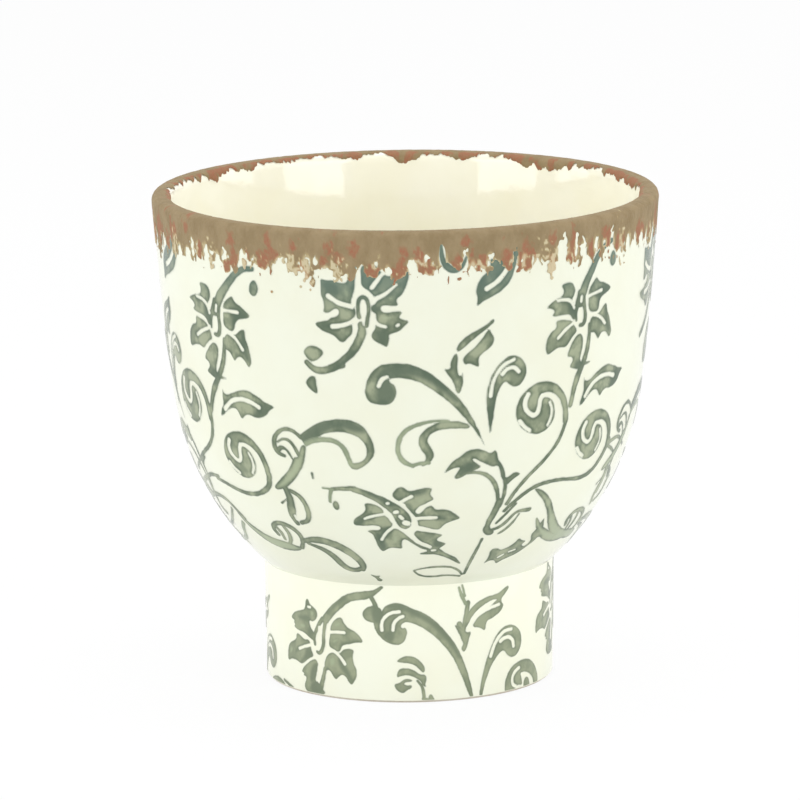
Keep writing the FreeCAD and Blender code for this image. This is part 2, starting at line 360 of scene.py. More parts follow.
def noise_round(angles, along, across_size, along_size, seed):
    """Noise on the turned surface, without a seam. It lies about 0, and its lumps' sizes are in metres."""
    spread = RIM_RADIUS / across_size
    columns = [(math.cos(a) * spread, math.sin(a) * spread) for a in angles]
    return np.array([[noise.noise((x, y, s / along_size + seed)) for x, y in columns] for s in along])


def make_coat(name, length, profile, finish):
    """Whole even coat on a profile, with the slow waves that a poured glaze dries to."""
    across = whole_turn(COAT_CELL)
    along = np.linspace(0, length, math.ceil(length / COAT_CELL) + 1)
    waves = noise_round(across, along, *GLAZE_WAVES) * GLAZE_RIPPLE_DEPTH
    sheet = cut_from_sheet(name, np.ones(waves.shape), across, along, waves)
    return throw(name, sheet, profile, finish)


def make_cream(name, pale, warm):
    cream, tree, shader, cloud = new_finish(name, CREAM_CLOUD_SIZE, GLAZE_RIPPLE_SIZE)
    colour = blend_colours(tree, cloud["Cloud"], pale, warm)
    set_surface(tree, shader, cloud, colour, GLAZE_ROUGHNESS, GLAZE_RIPPLE_DEPTH, "Cloud")
    shader.inputs["IOR"].default_value = GLAZE_IOR
    return cream


cream = make_cream("bowl_cream", CREAM, CREAM_WARM)
outer_profile, outer_points = make_profile("outer_profile", outer_points)
outer_lengths = lengths_along(outer_points)
outer_glaze = make_coat("outer_glaze", outer_lengths[-1], outer_profile, cream)
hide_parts("bowl_glaze")


# Lining glaze. The same cream glaze, swilled round the inside from the floor up to the rim. Its colour is
# painted lighter than the bowl's outside: painted light for the light inside the mouth.
# The inner wall runs parallel to the side, flares at the throat and turns into a flat floor with a fillet.
COAT_THICKNESS = 0.0005
FLOOR_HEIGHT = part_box("lining_glaze")[0].z + COAT_THICKNESS
FLOOR_FILLET = 0.010
WALL_THICKNESS = 0.009
MOUTH_LEAN = math.radians(9.5)
# Painted light: the lining's cream is set lighter than the bowl's
LINING_CREAM_PAINTED_LIGHT = (0.925, 0.908, 0.785, 1)
LINING_WARM_PAINTED_LIGHT = (0.91, 0.885, 0.73, 1)
inner_side_radius = WALL_ARC_RADIUS - WALL_THICKNESS
mouth_end = mouth_centre - RIM_ROUNDING * outward(MOUTH_LEAN)
mouth_away = mouth_end - side_centre
throat_rise = inner_side_radius - (mouth_away * outward(-MOUTH_LEAN)).real
throat_radius = (abs(mouth_away) ** 2 - inner_side_radius ** 2) / (2 * throat_rise)
throat_centre = mouth_end + throat_radius * outward(MOUTH_LEAN)
throat_drop = side_centre.imag - throat_centre.imag
throat_angle = math.asin(throat_drop / (inner_side_radius + throat_radius))
inner_belly_radius = belly_radius - WALL_THICKNESS
fillet_path_radius = inner_belly_radius - FLOOR_FILLET
fillet_angle = math.asin((belly_centre.imag - FLOOR_HEIGHT - FLOOR_FILLET) / fillet_path_radius)
fillet_centre = belly_centre + fillet_path_radius * outward(fillet_angle)
inner_points = np.concatenate([
    line_points(1j * FLOOR_HEIGHT, fillet_centre - 1j * FLOOR_FILLET),
    arc_points(fillet_centre, FLOOR_FILLET, math.pi / 2, fillet_angle),
    arc_points(belly_centre, inner_belly_radius, fillet_angle, shoulder_angle),
    arc_points(side_centre, inner_side_radius, shoulder_angle, throat_angle),
    arc_points(throat_centre, throat_radius, throat_angle - math.pi, MOUTH_LEAN - math.pi),
    arc_points(mouth_centre, RIM_ROUNDING, MOUTH_LEAN - math.pi, up_angle),
    line_points(mouth_centre + 1j * RIM_ROUNDING, rim_middle),
])
inner_profile, inner_points = make_profile("inner_profile", inner_points)
lining_cream_painted_light = make_cream("lining_cream_painted_light", LINING_CREAM_PAINTED_LIGHT, LINING_WARM_PAINTED_LIGHT)
lining = make_coat("lining_glaze_coat", lengths_along(inner_points)[-1], inner_profile, lining_cream_painted_light)
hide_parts("lining_glaze")


# Foot glaze. The same cream glaze on the upright side of the foot. Its colour is painted a shade paler than
# the bowl's, as painted light for the brighter light on the foot. It was poured on with the bowl's coat and
# wiped off just above the ground.
FOOT_TAPER = 0.0005
# Painted light: the foot's cream is set lighter than the bowl's
FOOT_CREAM_PAINTED_LIGHT = (0.895, 0.91, 0.77, 1)
FOOT_WARM_PAINTED_LIGHT = (0.885, 0.89, 0.73, 1)
BARE_FOOT_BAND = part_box("foot_glaze")[0].z
foot_slope = FOOT_TAPER + 1j * CREASE_HEIGHT
foot_end = crease - foot_slope * (1 - BARE_FOOT_BAND / CREASE_HEIGHT)
foot_points = line_points(crease, foot_end)
foot_profile, foot_points = make_profile("foot_profile", foot_points)
foot_cream_painted_light = make_cream("foot_cream_painted_light", FOOT_CREAM_PAINTED_LIGHT, FOOT_WARM_PAINTED_LIGHT)
foot_glaze = make_coat("foot_glaze_coat", lengths_along(foot_points)[-1], foot_profile, foot_cream_painted_light)
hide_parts("foot_glaze")


# Rim wash. A dry brown wash brushed over the rim after glazing. It is whole on the rim, tears into upright
# tongues down the outside with chips of cream between them, lets the red ground show in blots, and frays to
# a narrow red band inside the mouth.
MM = 0.001
WASH_CELL = 0.0005
WASH_REACH_OUTSIDE = 0.026
WASH_REACH_INSIDE = 0.008
OUTER_TEAR_DEPTH = 0.0151
INNER_TEAR_DEPTH = 0.0007
WASH_LIFT = 0.00022
WASH_LUMP_LIFT = 0.00008
WASH_EDGE = 0.0008
VINE_TOP_LIFT = 0.00006
WASH_BROWN = (0.258, 0.190, 0.099, 1)
WASH_PALE = (0.312, 0.236, 0.131, 1)
WASH_RUST = (0.330, 0.136, 0.075, 1)
WASH_TAN = (0.60, 0.49, 0.26, 1)
WASH_CLOUD_SIZE = 0.006
WASH_GRAIN_SIZE = 0.0009
WASH_GRAIN_DEPTH = 0.00008
WASH_STRETCH = 0.6
WASH_ROUGHNESS = (0.6, 0.85)
WASH_GLOSS = 0.25
# Noise of the wash: size across, size along the profile, and a seed
BROAD_TONGUES = (0.010, 1.0, 0.3)
NARROW_TONGUES = (0.0036, 1.0, 5.1)
BROAD_BITES = (0.012, 1.0, 9.4)
NARROW_BITES = (0.004, 1.0, 2.2)
FRAY = (0.0026, 0.0062, 1.3)
FINE_FRAY = (0.0011, 0.0018, 7.9)
LACE = (0.0016, 0.0026, 2.7)
STAINS = (0.0048, 0.0095, 4.6)
LUMPS = (0.0022, 0.0022, 6.1)
TONGUE_DEPTH = 0.0034
BROAD_BITE_DEPTH = 0.0034
NARROW_BITE_DEPTH = 0.0024
# How deep fray, fine fray and lace bite into the outer tear, the inner tear and the edges of spots
OUTER_FRAY_DEPTHS = (0.0044, 0.0026, 0.0048)
INNER_FRAY_DEPTHS = (0.0006, 0.0014, 0)
SPOT_FRAY_DEPTHS = (0.0006, 0.0010, 0.0009)
# Depths over which the wash goes from whole to torn and from mouth to rim, and over the edges of spots
LOWER_WASH = (0.004, 0.011)
MOUTH_WASH = (-0.0026, -0.0008)
BLOT_EDGE = (-0.0006, 0.0010)
DRIP_EDGE = (0.0, 0.0014)
THIN_EDGE = (0.0001, 0.0009)
# Values over which the noise becomes a stain of rust, the grain thins the rust, and a thin wash fades
STAIN_EDGE = (0.42, 0.70)
RUST_GRAIN = (0.0, 0.9)
RUST_SHARES = (1.0, 0.6)
FADE_EDGE = (0.4, 0.8)
FADE_SHARE = 0.22
TAN_SHARE = 0.85
BLOT_RAGGEDNESS = 0.6
DRIP_RAGGEDNESS = 1.8
THIN_RAGGEDNESS = 2
FINE_STAIN = 0.35
LOWER_STAIN = 0.42
MOUTH_STAIN = 0.62
EDGE_THINNESS = 0.75
DRIP_THINNESS = 0.8
# Spots, in millimetres to the right of the front and below the rim: place, top, bottom, width.
# The first are chips of cream.
CHIPS = [
    (-125, 11, 20, 4), (-117, 12, 20, 2), (-108.5, 12, 20, 3), (-102, 12, 18, 4), (-98, 8, 14, 2),
    (-94, 13, 20, 2), (-89, 9, 16, 2.5), (-82, 12, 20, 2.5), (-78, 10, 15, 2.5), (-68, 9.5, 20, 4.5),
    (-62, 14, 20, 2), (-50, 10, 18, 6), (-39, 8.5, 14, 2.5), (-35.5, 9.5, 11.5, 1.5), (-31.5, 13, 21, 4),
    (-18, 14, 20, 2), (-7, 13, 19, 1.8), (2.5, 9.5, 15, 3.5), (8, 8, 11.5, 1.6), (14, 14, 20, 2.4),
    (23, 5, 12, 1.6), (26, 12, 19, 2), (33, 8, 11, 2), (37, 13, 19, 2.2), (43.5, 9, 14, 2),
    (47.5, 10, 15, 1.8), (53, 12, 20, 3), (65.5, 5, 18, 5), (72, 4.5, 12, 1.6), (76, 7, 13, 2.5),
    (83, 5, 12, 2.6), (88, 8, 11, 2), (93, 5, 14, 2.4), (98.5, 9, 16, 2.6), (105.5, 9, 16, 3),
    (112, 10, 18, 3), (118, 10, 17, 3), (124, 10, 18, 2.5), (135, 9, 17, 3), (146, 11, 20, 4),
    (-139, 10, 17, 3), (-152, 11, 20, 3.4),
]
# Tan drips
TAN_DRIPS = [
    (-46, 9, 16, 5), (-40, 10, 17, 3.4), (-27, 9, 18, 4), (55, 6, 11, 3), (60, 10, 18, 4), (-113, 9, 17, 3),
    (100, 8, 16, 2.4), (-86, 11, 17, 2.4), (-68, 12, 16, 3), (130, 8, 17, 3.4), (-146, 9, 18, 3.4),
]
# Blots of rust
BLOTS = [
    (-102, 0.5, 6, 4), (-74, 2, 8, 4), (-77, 13, 19, 4), (-56, 1, 7, 4), (-58, 8, 16, 5), (-30, 2, 8, 4),
    (-20, 2, 8, 4), (-13, 11, 17, 5.4), (-2, 11, 17, 5.4), (-1, 4, 8, 3), (9, 10, 16, 5), (23, 1, 5, 4),
    (20, 8, 14, 4), (30, 8, 14, 5), (40, 7, 14, 4.5), (48, 4, 10, 3), (49, 9, 17, 4), (69, 8, 16, 4),
    (80, 8, 14, 3.4), (88, 3, 9, 4), (97, 7, 15, 4), (101, 8, 14, 3), (114, 5, 13, 4), (-93, 8, 15, 4),
    (-112, 3, 9, 4), (-120, 8, 16, 4), (-45, 3, 8, 3), (60, 2, 8, 3.4), (138, 3, 12, 5), (151, 7, 15, 4),
    (-133, 4, 12, 4), (-146, 2, 8, 4),
]
# Specks that the brush let fall
SPECKS = [(-55, 23.4, 24.6, 1.4), (-42, 20.4, 21.6, 1.2), (-38, 21.4, 22.6, 1), (103, 19.6, 20.4, 1.4)]
# Where the rim's own green scroll sheds the wash
SHED_SPOTS = [(14, 4, 12, 2.6), (16.4, 11, 16, 3.6), (20, 13, 17, 4), (23, 9, 14, 2.4)]


def smooth_step(value, low, high):
    share = np.clip((value - low) / (high - low), 0, 1)
    return share * share * (3 - 2 * share)


rim_points = np.concatenate([inner_points, outer_points[1:]])
rim_profile, rim_points = make_profile("rim_profile", rim_points)
rim_top = lengths_along(inner_points)[-1]
half_rim = (RIM_THICKNESS - 2 * RIM_ROUNDING) / 2 + RIM_ROUNDING
wash_across = whole_turn(WASH_CELL)
wash_start = rim_top - half_rim - WASH_REACH_INSIDE
wash_end = rim_top + half_rim + WASH_REACH_OUTSIDE
wash_along = np.linspace(wash_start, wash_end, math.ceil((wash_end - wash_start) / WASH_CELL) + 1)
depth_outside = (wash_along - rim_top - half_rim)[:, None]
depth_inside = (rim_top - half_rim - wash_along)[:, None]


def depth_in_spots(spots):
    """How deep each place lies in the nearest of some upright spots, which stand on front and back."""
    deepest = np.full((len(wash_along), len(wash_across)), -WASH_REACH_OUTSIDE)
    for place, top, bottom, width in spots:
        for side in (0, math.pi):
            away = np.angle(np.exp(1j * (wash_across - place * MM / RIM_RADIUS - side))) * RIM_RADIUS
            down = depth_outside - (top + bottom) / 2 * MM
            reach = np.hypot(away / (width * MM / 2), down / ((bottom - top) * MM / 2))
            deepest = np.maximum(deepest, (1 - reach) * width * MM / 2)
    return deepest


def noise_on_wash(kind):
    return noise_round(wash_across, wash_along, *kind)


def noise_along_rim(kind):
    return noise_round(wash_across, np.zeros(1), *kind)


fray, fine_fray, lace = (noise_on_wash(kind) for kind in (FRAY, FINE_FRAY, LACE))


def torn_by(depths):
    return sum(depth * bite for depth, bite in zip(depths, (fray, fine_fray, lace)))


tongues = noise_along_rim(BROAD_TONGUES) * TONGUE_DEPTH + noise_along_rim(NARROW_TONGUES) * TONGUE_DEPTH
bites = noise_along_rim(BROAD_BITES) * BROAD_BITE_DEPTH + noise_along_rim(NARROW_BITES) * NARROW_BITE_DEPTH
outer_field = OUTER_TEAR_DEPTH + tongues - depth_outside + torn_by(OUTER_FRAY_DEPTHS)
inner_field = INNER_TEAR_DEPTH + bites - depth_inside + torn_by(INNER_FRAY_DEPTHS)
ragged = torn_by(SPOT_FRAY_DEPTHS)
drip_depth = depth_in_spots(TAN_DRIPS) + DRIP_RAGGEDNESS * ragged
blot_depth = depth_in_spots(BLOTS) + BLOT_RAGGEDNESS * ragged
wash_field = np.minimum(outer_field, inner_field)
for taken in (depth_in_spots(CHIPS) + ragged, depth_in_spots(SHED_SPOTS)):
    wash_field = np.minimum(wash_field, -taken)
for kept in (drip_depth, blot_depth, depth_in_spots(SPECKS)):
    wash_field = np.maximum(wash_field, kept)
lower = smooth_step(depth_outside, *LOWER_WASH)
stains = noise_on_wash(STAINS) + FINE_STAIN * fine_fray
stains = stains + LOWER_STAIN * lower + MOUTH_STAIN * smooth_step(depth_inside, *MOUTH_WASH)
rust_blots = smooth_step(blot_depth + BLOT_RAGGEDNESS * ragged, *BLOT_EDGE)
rust = np.maximum(rust_blots, smooth_step(stains, *STAIN_EDGE))
thin_edge = (1 - smooth_step(wash_field + ragged, *THIN_EDGE)) * lower
thin_drips = smooth_step(drip_depth + THIN_RAGGEDNESS * ragged, *DRIP_EDGE)
thin = np.maximum(EDGE_THINNESS * thin_edge, DRIP_THINNESS * thin_drips)
wash_thickness = WASH_LIFT + noise_on_wash(LUMPS) * WASH_LUMP_LIFT
wash_lift = smooth_step(wash_field, 0, WASH_EDGE) * wash_thickness + VINE_TOP_LIFT


def read_mark(tree, name):
    """Value that the mesh carries at each place under this name."""
    return add(tree, "ShaderNodeAttribute", attribute_name=name).outputs["Fac"]


def make_wash():
    """Brown wash with stains of rust. It turns to tan and fades towards cream where it lies thin."""
    wash, tree, shader, cloud = new_finish("brown_wash", WASH_CLOUD_SIZE, WASH_GRAIN_SIZE, WASH_STRETCH)
    rust_mark = read_mark(tree, "rust")
    thin_mark = read_mark(tree, "thin")
    ground = blend_colours(tree, cloud["Cloud"], WASH_BROWN, WASH_PALE)
    grain_share = between(tree, cloud["Grain"], *RUST_GRAIN, *RUST_SHARES)
    stained = blend_colours(tree, work_out(tree, "MULTIPLY", rust_mark, grain_share), ground, WASH_RUST)
    tanned = blend_colours(tree, work_out(tree, "MULTIPLY", thin_mark, TAN_SHARE), stained, WASH_TAN)
    faded = blend_colours(tree, between(tree, thin_mark, *FADE_EDGE, 0.0, FADE_SHARE), tanned, CREAM)
    set_surface(tree, shader, cloud, faded, WASH_ROUGHNESS, WASH_GRAIN_DEPTH)
    shader.inputs["Specular IOR Level"].default_value = WASH_GLOSS
    return wash


wash_sheet = cut_from_sheet(
    "rim_wash_sheet", wash_field, wash_across, wash_along, wash_lift, {"rust": rust, "thin": thin})
rim_wash = throw("rim_wash_coat", wash_sheet, rim_profile, make_wash())
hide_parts("rim_wash")


# Vine on the bowl. Flowers, leaves and scrolls pressed into the clay and flooded with green glaze, which
# pools dark along their edges and leaves the raised veins cream. It stands twice round the bowl.
VINE_CELL = 0.65
VINE_EDGE_LIFT = 0.00003
VINE_LIFT = 0.00012
VINE_SHOULDER = 1.0
VINE_BLEED = 0.28
VINE_TOP = 3.0
VINE_BOTTOM = 181.0
VINE_COPIES = 2
TREMBLE = 0.22
TREMBLE_PITCH = 0.4
TREMBLE_SEED = 0.5
UNITS_PER_RADIUS = 100
# The deepest green is painted shade, and the thin green is both thinner glaze and painted light
GREEN_PAINTED_SHADE = (0.066, 0.106, 0.066, 1)
GREEN_EDGE = (0.092, 0.130, 0.078, 1)
GREEN_MID = (0.194, 0.233, 0.146, 1)
GREEN_PALE = (0.318, 0.355, 0.232, 1)
GREEN_TEAL = (0.085, 0.145, 0.115, 1)
GREEN_THIN_AND_PAINTED_LIGHT = (0.36, 0.42, 0.27, 1)
GREEN_CLOUD_SIZE = 0.0075
GREEN_GRAIN_SIZE = 0.0012
GREEN_GRAIN_DEPTH = 0.00003
GREEN_STRETCH = 0.8
GREEN_ROUGHNESS = (0.10, 0.20)
# Heights over which the green turns cooler under the rim and loses the paleness of the foot
TEAL_RISE = (0.160, 0.178)
FOOT_RISE = (0.044, 0.050)
# Depths in the drawing over which the glaze of faint and pale shapes changes, painted light and painted
# shade come in, and over which the glaze pools
FAINT_EDGE = (-0.5, 0.4)
PALE_AND_PAINTED_LIGHT_EDGE = (0.6, 2.4)
PAINTED_SHADE_EDGE = (-1.6, 1.4)
POOL_EDGE = (0.7, 2.9)
BLEED_EDGE = (0.0, 0.75)
MIDDLE_CLOUD = (0.15, 0.85)
POOL_CLOUD = 1.3
# How far thin glaze and painted light pale the green, and how far painted shade darkens it
FAINT_THINNESS = 0.5
PALE_AND_PAINTED_LIGHT_THINNESS = 0.8
PAINTED_SHADE_SHARE = 0.8
TEAL_SHARE = 0.7
FOOT_PALE_SHARE = 0.35

# Points of a motif are hundredths of the radius at each height, to the right of the front and down from the
# rim, so a motif keeps its shape on the taper. A stem or vein is a width, or widths along it, and points.
# Faint stems and pale fills hold thinner glaze. Light fills are painted light and deep fills are painted
# shade, which lighten and darken the glaze of the other shapes. Spots are where a motif's two anchors fall,
# its own place first.
FLOWER = {
    "stems": [
        ((2.4, 3.2, 3.8, 4.6), [(93, 10.8), (88.5, 12.2), (84.5, 16), (81, 21.5), (78.2, 26), (76.6, 30)]),
        ((2.6, 2.4, 1.4), [(75.2, 29), (74.2, 33.5), (73.4, 37), (74, 40.4)]),
        ((2.4, 2, 2.4, 1.8), [(77.4, 30), (77.8, 34), (78.8, 37.6), (79, 40.8), (77.9, 42.6),
         (76.2, 42.6)]),
        ((2, 2), [(72.6, 34.8), (77.4, 34)]),
        ((2, 2.8, 3, 3.4, 2.6), [(81.9, 43), (82, 49), (81.2, 54.5), (79.4, 59), (77, 63.6), (75.2, 69),
         (74, 76)]),
        ((1.8, 0.8), [(79.8, 59.4), (83.4, 58.9)]),
    ],
    "fills": [
        [(65, 24.9), (68.4, 24), (71.2, 24.8), (72.8, 27.4), (72.2, 30), (71, 31.5), (72.4, 34), (74, 36.4),
         (73.8, 40), (72, 40), (70.6, 38), (68.4, 37.2), (64.4, 37.6), (61, 37.2), (62.6, 35.4), (61, 33.9),
         (58.2, 33.8), (59.4, 32.2), (62.6, 30.6), (66.2, 29.4), (66.6, 27.2)],
        [(63, 39.2), (66, 39), (69.8, 39.4), (72, 40.6), (73.6, 42.6), (75, 45), (73, 46.4), (71.3, 48.4),
         (69.2, 51), (66.4, 50.5), (63.4, 51.2), (59.6, 53.6), (58.6, 50), (59.2, 46), (61, 43.5),
         (63.8, 42.2)],
        [(75.2, 46), (77.5, 46.2), (78.8, 48.6), (78.5, 52.5), (77.2, 56.8), (79, 58.8), (77, 61.4),
         (73.5, 60.4), (71.4, 59.6), (73.4, 57), (72.6, 55.4), (69.7, 55.1), (71, 51.5), (73, 48.4)],
        [(80, 30.6), (80.5, 28), (82.5, 25.8), (84.6, 23.8), (86, 26), (89.5, 27), (92.5, 28.3),
         (94.6, 29.8), (92, 31.4), (88.8, 32.5), (87.2, 34.5), (87, 37.4), (85.5, 38.6), (82, 38.2),
         (80.5, 36.5), (80.3, 33)],
        [(82.2, 40.2), (85, 40), (88, 38.8), (90, 36.2), (92.2, 35.4), (92.6, 38.5), (94.3, 41.2),
         (96, 45.3), (96.8, 48.6), (95.5, 50.9), (93.5, 48.3), (91, 47.3), (89.3, 48.2), (88, 50.5),
         (86.3, 48.4), (84.6, 46.8), (82.6, 47), (81.5, 44)],
        [(92.4, 17), (94.4, 14.2), (96.8, 16.6), (96.8, 20.2), (94.6, 21.6), (92.6, 20.2)],
    ],
    "veins": [
        (1.1, [(63.8, 31), (68, 30.9), (71, 32.2), (72.4, 35)]),
        (1.2, [(64.8, 46.6), (68, 43.8), (72.8, 41)]), (1.1, [(80, 31.4), (84, 30.6), (88, 29.9)]),
        (1.2, [(82, 39.2), (86, 39.9), (89, 41.4), (91.8, 44)]), (1, [(76.3, 30.8), (76.2, 33)]),
        (1.1, [(76.2, 35.8), (76.6, 40)]),
    ],
    # Painted shade over the shapes
    "painted_shade_fills": [
        [(69.6, 30.6), (73, 33.6), (74.4, 40), (71.6, 38.6), (68.6, 36)],
        [(74.4, 57), (79.6, 56.6), (80.4, 61), (77.6, 65), (74, 62)],
        [(87.6, 27.6), (94.8, 29.8), (89, 32.4), (86.6, 36.4), (85, 33)],
        [(90.6, 36), (93, 40), (96.6, 47.6), (94, 48.6), (91, 44)],
    ],
}
FLOWER_SPOTS = [((77.5, 43.2), (94.3, 29.8)), ((-86.3, 47.2), (-66.5, 36.7))]

LEAF = {
    "fills": [
        [(80.8, 64.6), (81.6, 66.6), (84.2, 66.7), (87.5, 64.8), (91, 62.8), (95.2, 61.7), (100, 62.6),
         (104.5, 64.6), (110, 65.4), (107, 67.6), (105.6, 70.2), (102.5, 72.1), (99, 72.6), (95, 72.2),
         (92.4, 75.7), (90.6, 72.6), (89, 71.4), (86.5, 71.9), (83.8, 74), (81.4, 76.6), (79.2, 77.6),
         (79.7, 74.6), (81.2, 71.6), (80.8, 68)],
    ],
    "veins": [
        (1.7, [(82.4, 73.4), (85, 70), (88.6, 67.4), (93, 66.2), (98, 66.4), (101.6, 67.6)]),
    ],
    # Painted shade over the shapes
    "painted_shade_fills": [
        [(102, 64.6), (110.4, 65.2), (106, 70), (102, 72.4), (98, 72.4), (100, 68.6)],
        [(79.2, 78), (81, 71), (83.6, 70), (84, 73.6)],
    ],
}
LEAF_SPOTS = [
    ((79.3, 77.5), (110, 65.4)), ((-89.5, 81.5), (-57, 73.5)), ((40.5, 0.3), (27.5, 30.7)),
    ((-140, 64), (-126, 36)), ((-114, 0), (-131, 31)),
]

SPIRAL = {
    "fills": [
        [(73.4, 84), (73.2, 78), (71.3, 71.8), (67.6, 67), (63, 64.3), (58, 63.5), (53, 64.8), (49.5, 67.3),
         (47, 70.8), (46, 75), (46.6, 79), (49, 82.8), (52.5, 85.4), (56.5, 86.7), (60.2, 86.2),
         (63.4, 84.1), (65.5, 80.8), (65.8, 77.3), (65, 74.2), (63.2, 71.7), (60.6, 70.4), (58, 70.8),
         (57.2, 69.6), (59.5, 68.8), (63, 69), (66.4, 71), (68.8, 74.5), (70, 78.5), (70.3, 84)],
    ],
    "veins": [
        (1.8, [(58.6, 69.9), (57.5, 71.6), (57.3, 75), (56.6, 77.2), (54.8, 78.2), (52.5, 76.8),
         (50.6, 74.6), (50.2, 71.4), (51.6, 68.6)]),
        (1.5, [(48.3, 79.7), (50.3, 82.3), (53.3, 84.3)]),
        (1.1, [(62.6, 73.2), (64, 76.3), (64, 79.8), (62.2, 83)]),
    ],
}
SPIRAL_SPOTS = [
    ((72, 83), (57, 76)), ((105.3, 99.8), (90.3, 92.8)), ((-97.3, 84.2), (-112.8, 77.2)),
    ((-66, 106), (-81, 99)),
]

# The flower under the rim hangs head up from a hooked stem, with the wash over its upper petals
FRONT_FLOWER = {
    "stems": [
        (1.8, [(-18.6, 33.6), (-19, 31), (-19, 28), (-18.2, 25.8), (-16.6, 25.2), (-15.1, 26.4),
         (-14.7, 29), (-14.8, 31.6), (-15.3, 34), (-15.8, 37)]),
        ((2.8, 3.8, 3.8, 3.6, 3.2, 3), [(-18, 36.4), (-17.4, 38.6), (-18.4, 42.5), (-20.8, 46.6),
         (-24, 50.2), (-27.6, 53), (-31, 54.8)]),
    ],
    "fills": [
        [(-34, 18.4), (-33.8, 21), (-34, 24.6), (-33, 27), (-32.6, 29.6), (-33.4, 32.2), (-31, 32.4),
         (-29.4, 31), (-27.1, 30.3), (-26.6, 32.2), (-27.8, 33.5), (-30.2, 34), (-31.3, 35.2),
         (-33.6, 35.6), (-37.2, 36.5), (-35, 39), (-32.3, 40.5), (-29.8, 40.9), (-28.1, 42.3), (-26.5, 44),
         (-24.8, 44), (-23.5, 42.5), (-21.9, 41.2), (-21.2, 39.4), (-21.2, 36), (-20.6, 33.6), (-19.6, 32),
         (-19.8, 30), (-21, 29), (-21.6, 27), (-20.9, 25), (-20, 22), (-19.5, 17), (-19, 12), (-20.8, 12),
         (-21.6, 15), (-22.8, 18), (-23.4, 20), (-26, 19.8), (-28.6, 18.8), (-31.6, 19)],
        [(-17.6, 12), (-17.7, 19.6), (-16.8, 21.8), (-14.6, 22.9), (-12.8, 24.6), (-12, 27), (-13.8, 29),
         (-13.8, 31), (-12.3, 32.2), (-12.4, 35), (-12.2, 37.6), (-13.5, 39.4), (-14.2, 41.7),
         (-12.3, 43.6), (-9.6, 44.8), (-7.7, 46.2), (-6.6, 42.6), (-7.1, 40.5), (-5.4, 40), (-2.7, 39),
         (-0.4, 36.9), (1.3, 35), (-1.2, 34.3), (-3.2, 33.4), (-1, 31), (-4.6, 30.9), (-7.7, 31.6),
         (-9.8, 31), (-10, 29.2), (-8.1, 28.6), (-5.4, 29), (-2.8, 28.9), (-3.8, 26.3), (-1.9, 24.8),
         (-0.4, 22.5), (0.8, 19), (1.6, 14.2), (-2, 15.4), (-6, 17), (-9, 16), (-10, 14.4), (-12, 12)],
    ],
    # Painted light over the shapes
    "painted_light_fills": [
        [(-25.4, 21.4), (-21.8, 21.4), (-21.6, 26.6), (-25, 26)],
        [(-25, 30), (-22, 30), (-21.8, 33.6), (-24.8, 34)],
        [(-25.6, 39), (-21.6, 38.4), (-22, 41.4), (-25, 43)],
        [(-8.6, 24.6), (-4, 23.4), (-4, 27), (-7, 28)], [(-11.6, 32), (-5, 31.8), (-4.6, 35), (-10, 36)],
    ],
    # Painted shade over the shapes
    "painted_shade_fills": [
        [(-33.6, 19.4), (-27, 19.6), (-25.6, 24), (-28, 26), (-32, 24)],
        [(-21.6, 29.4), (-20, 29.6), (-19.2, 32.4), (-21, 33)],
        [(-37, 36.6), (-31, 36), (-30, 38), (-33, 39.6)],
        [(-14, 28.4), (-10.4, 28.6), (-10, 31.4), (-13.6, 31.6)],
        [(-13, 38), (-7, 38), (-7.6, 45.4), (-12, 43)],
        [(-29, 53), (-25, 50), (-22, 47), (-19, 47), (-22, 51.6), (-26, 55), (-31, 56.4)],
    ],
    "veins": [
        ((1.7, 1.6), [(-30.8, 25.4), (-27.7, 27.6), (-24.6, 28.7), (-21.4, 29.3)]),
        ((1.7, 1.5), [(-29.5, 37.6), (-26, 37.2), (-22.4, 36), (-20.6, 34.6)]),
        ((1.6, 1.2), [(-13.3, 21.6), (-12, 19.8), (-10.4, 17.6), (-9, 16)]),
        ((1.8, 1.4, 0.8), [(-13, 27.4), (-12, 26), (-9.5, 24.9), (-6.6, 22.8), (-3.8, 20.3)]),
        (1.3, [(-12.8, 32.4), (-12.4, 35), (-11, 36.6), (-8.2, 37.3)]), (1, [(-3.8, 36.9), (-3.2, 36.5)]),
        ((0.9, 0.6), [(-17.3, 30), (-17, 33), (-16.8, 36.6)]),
    ],
}

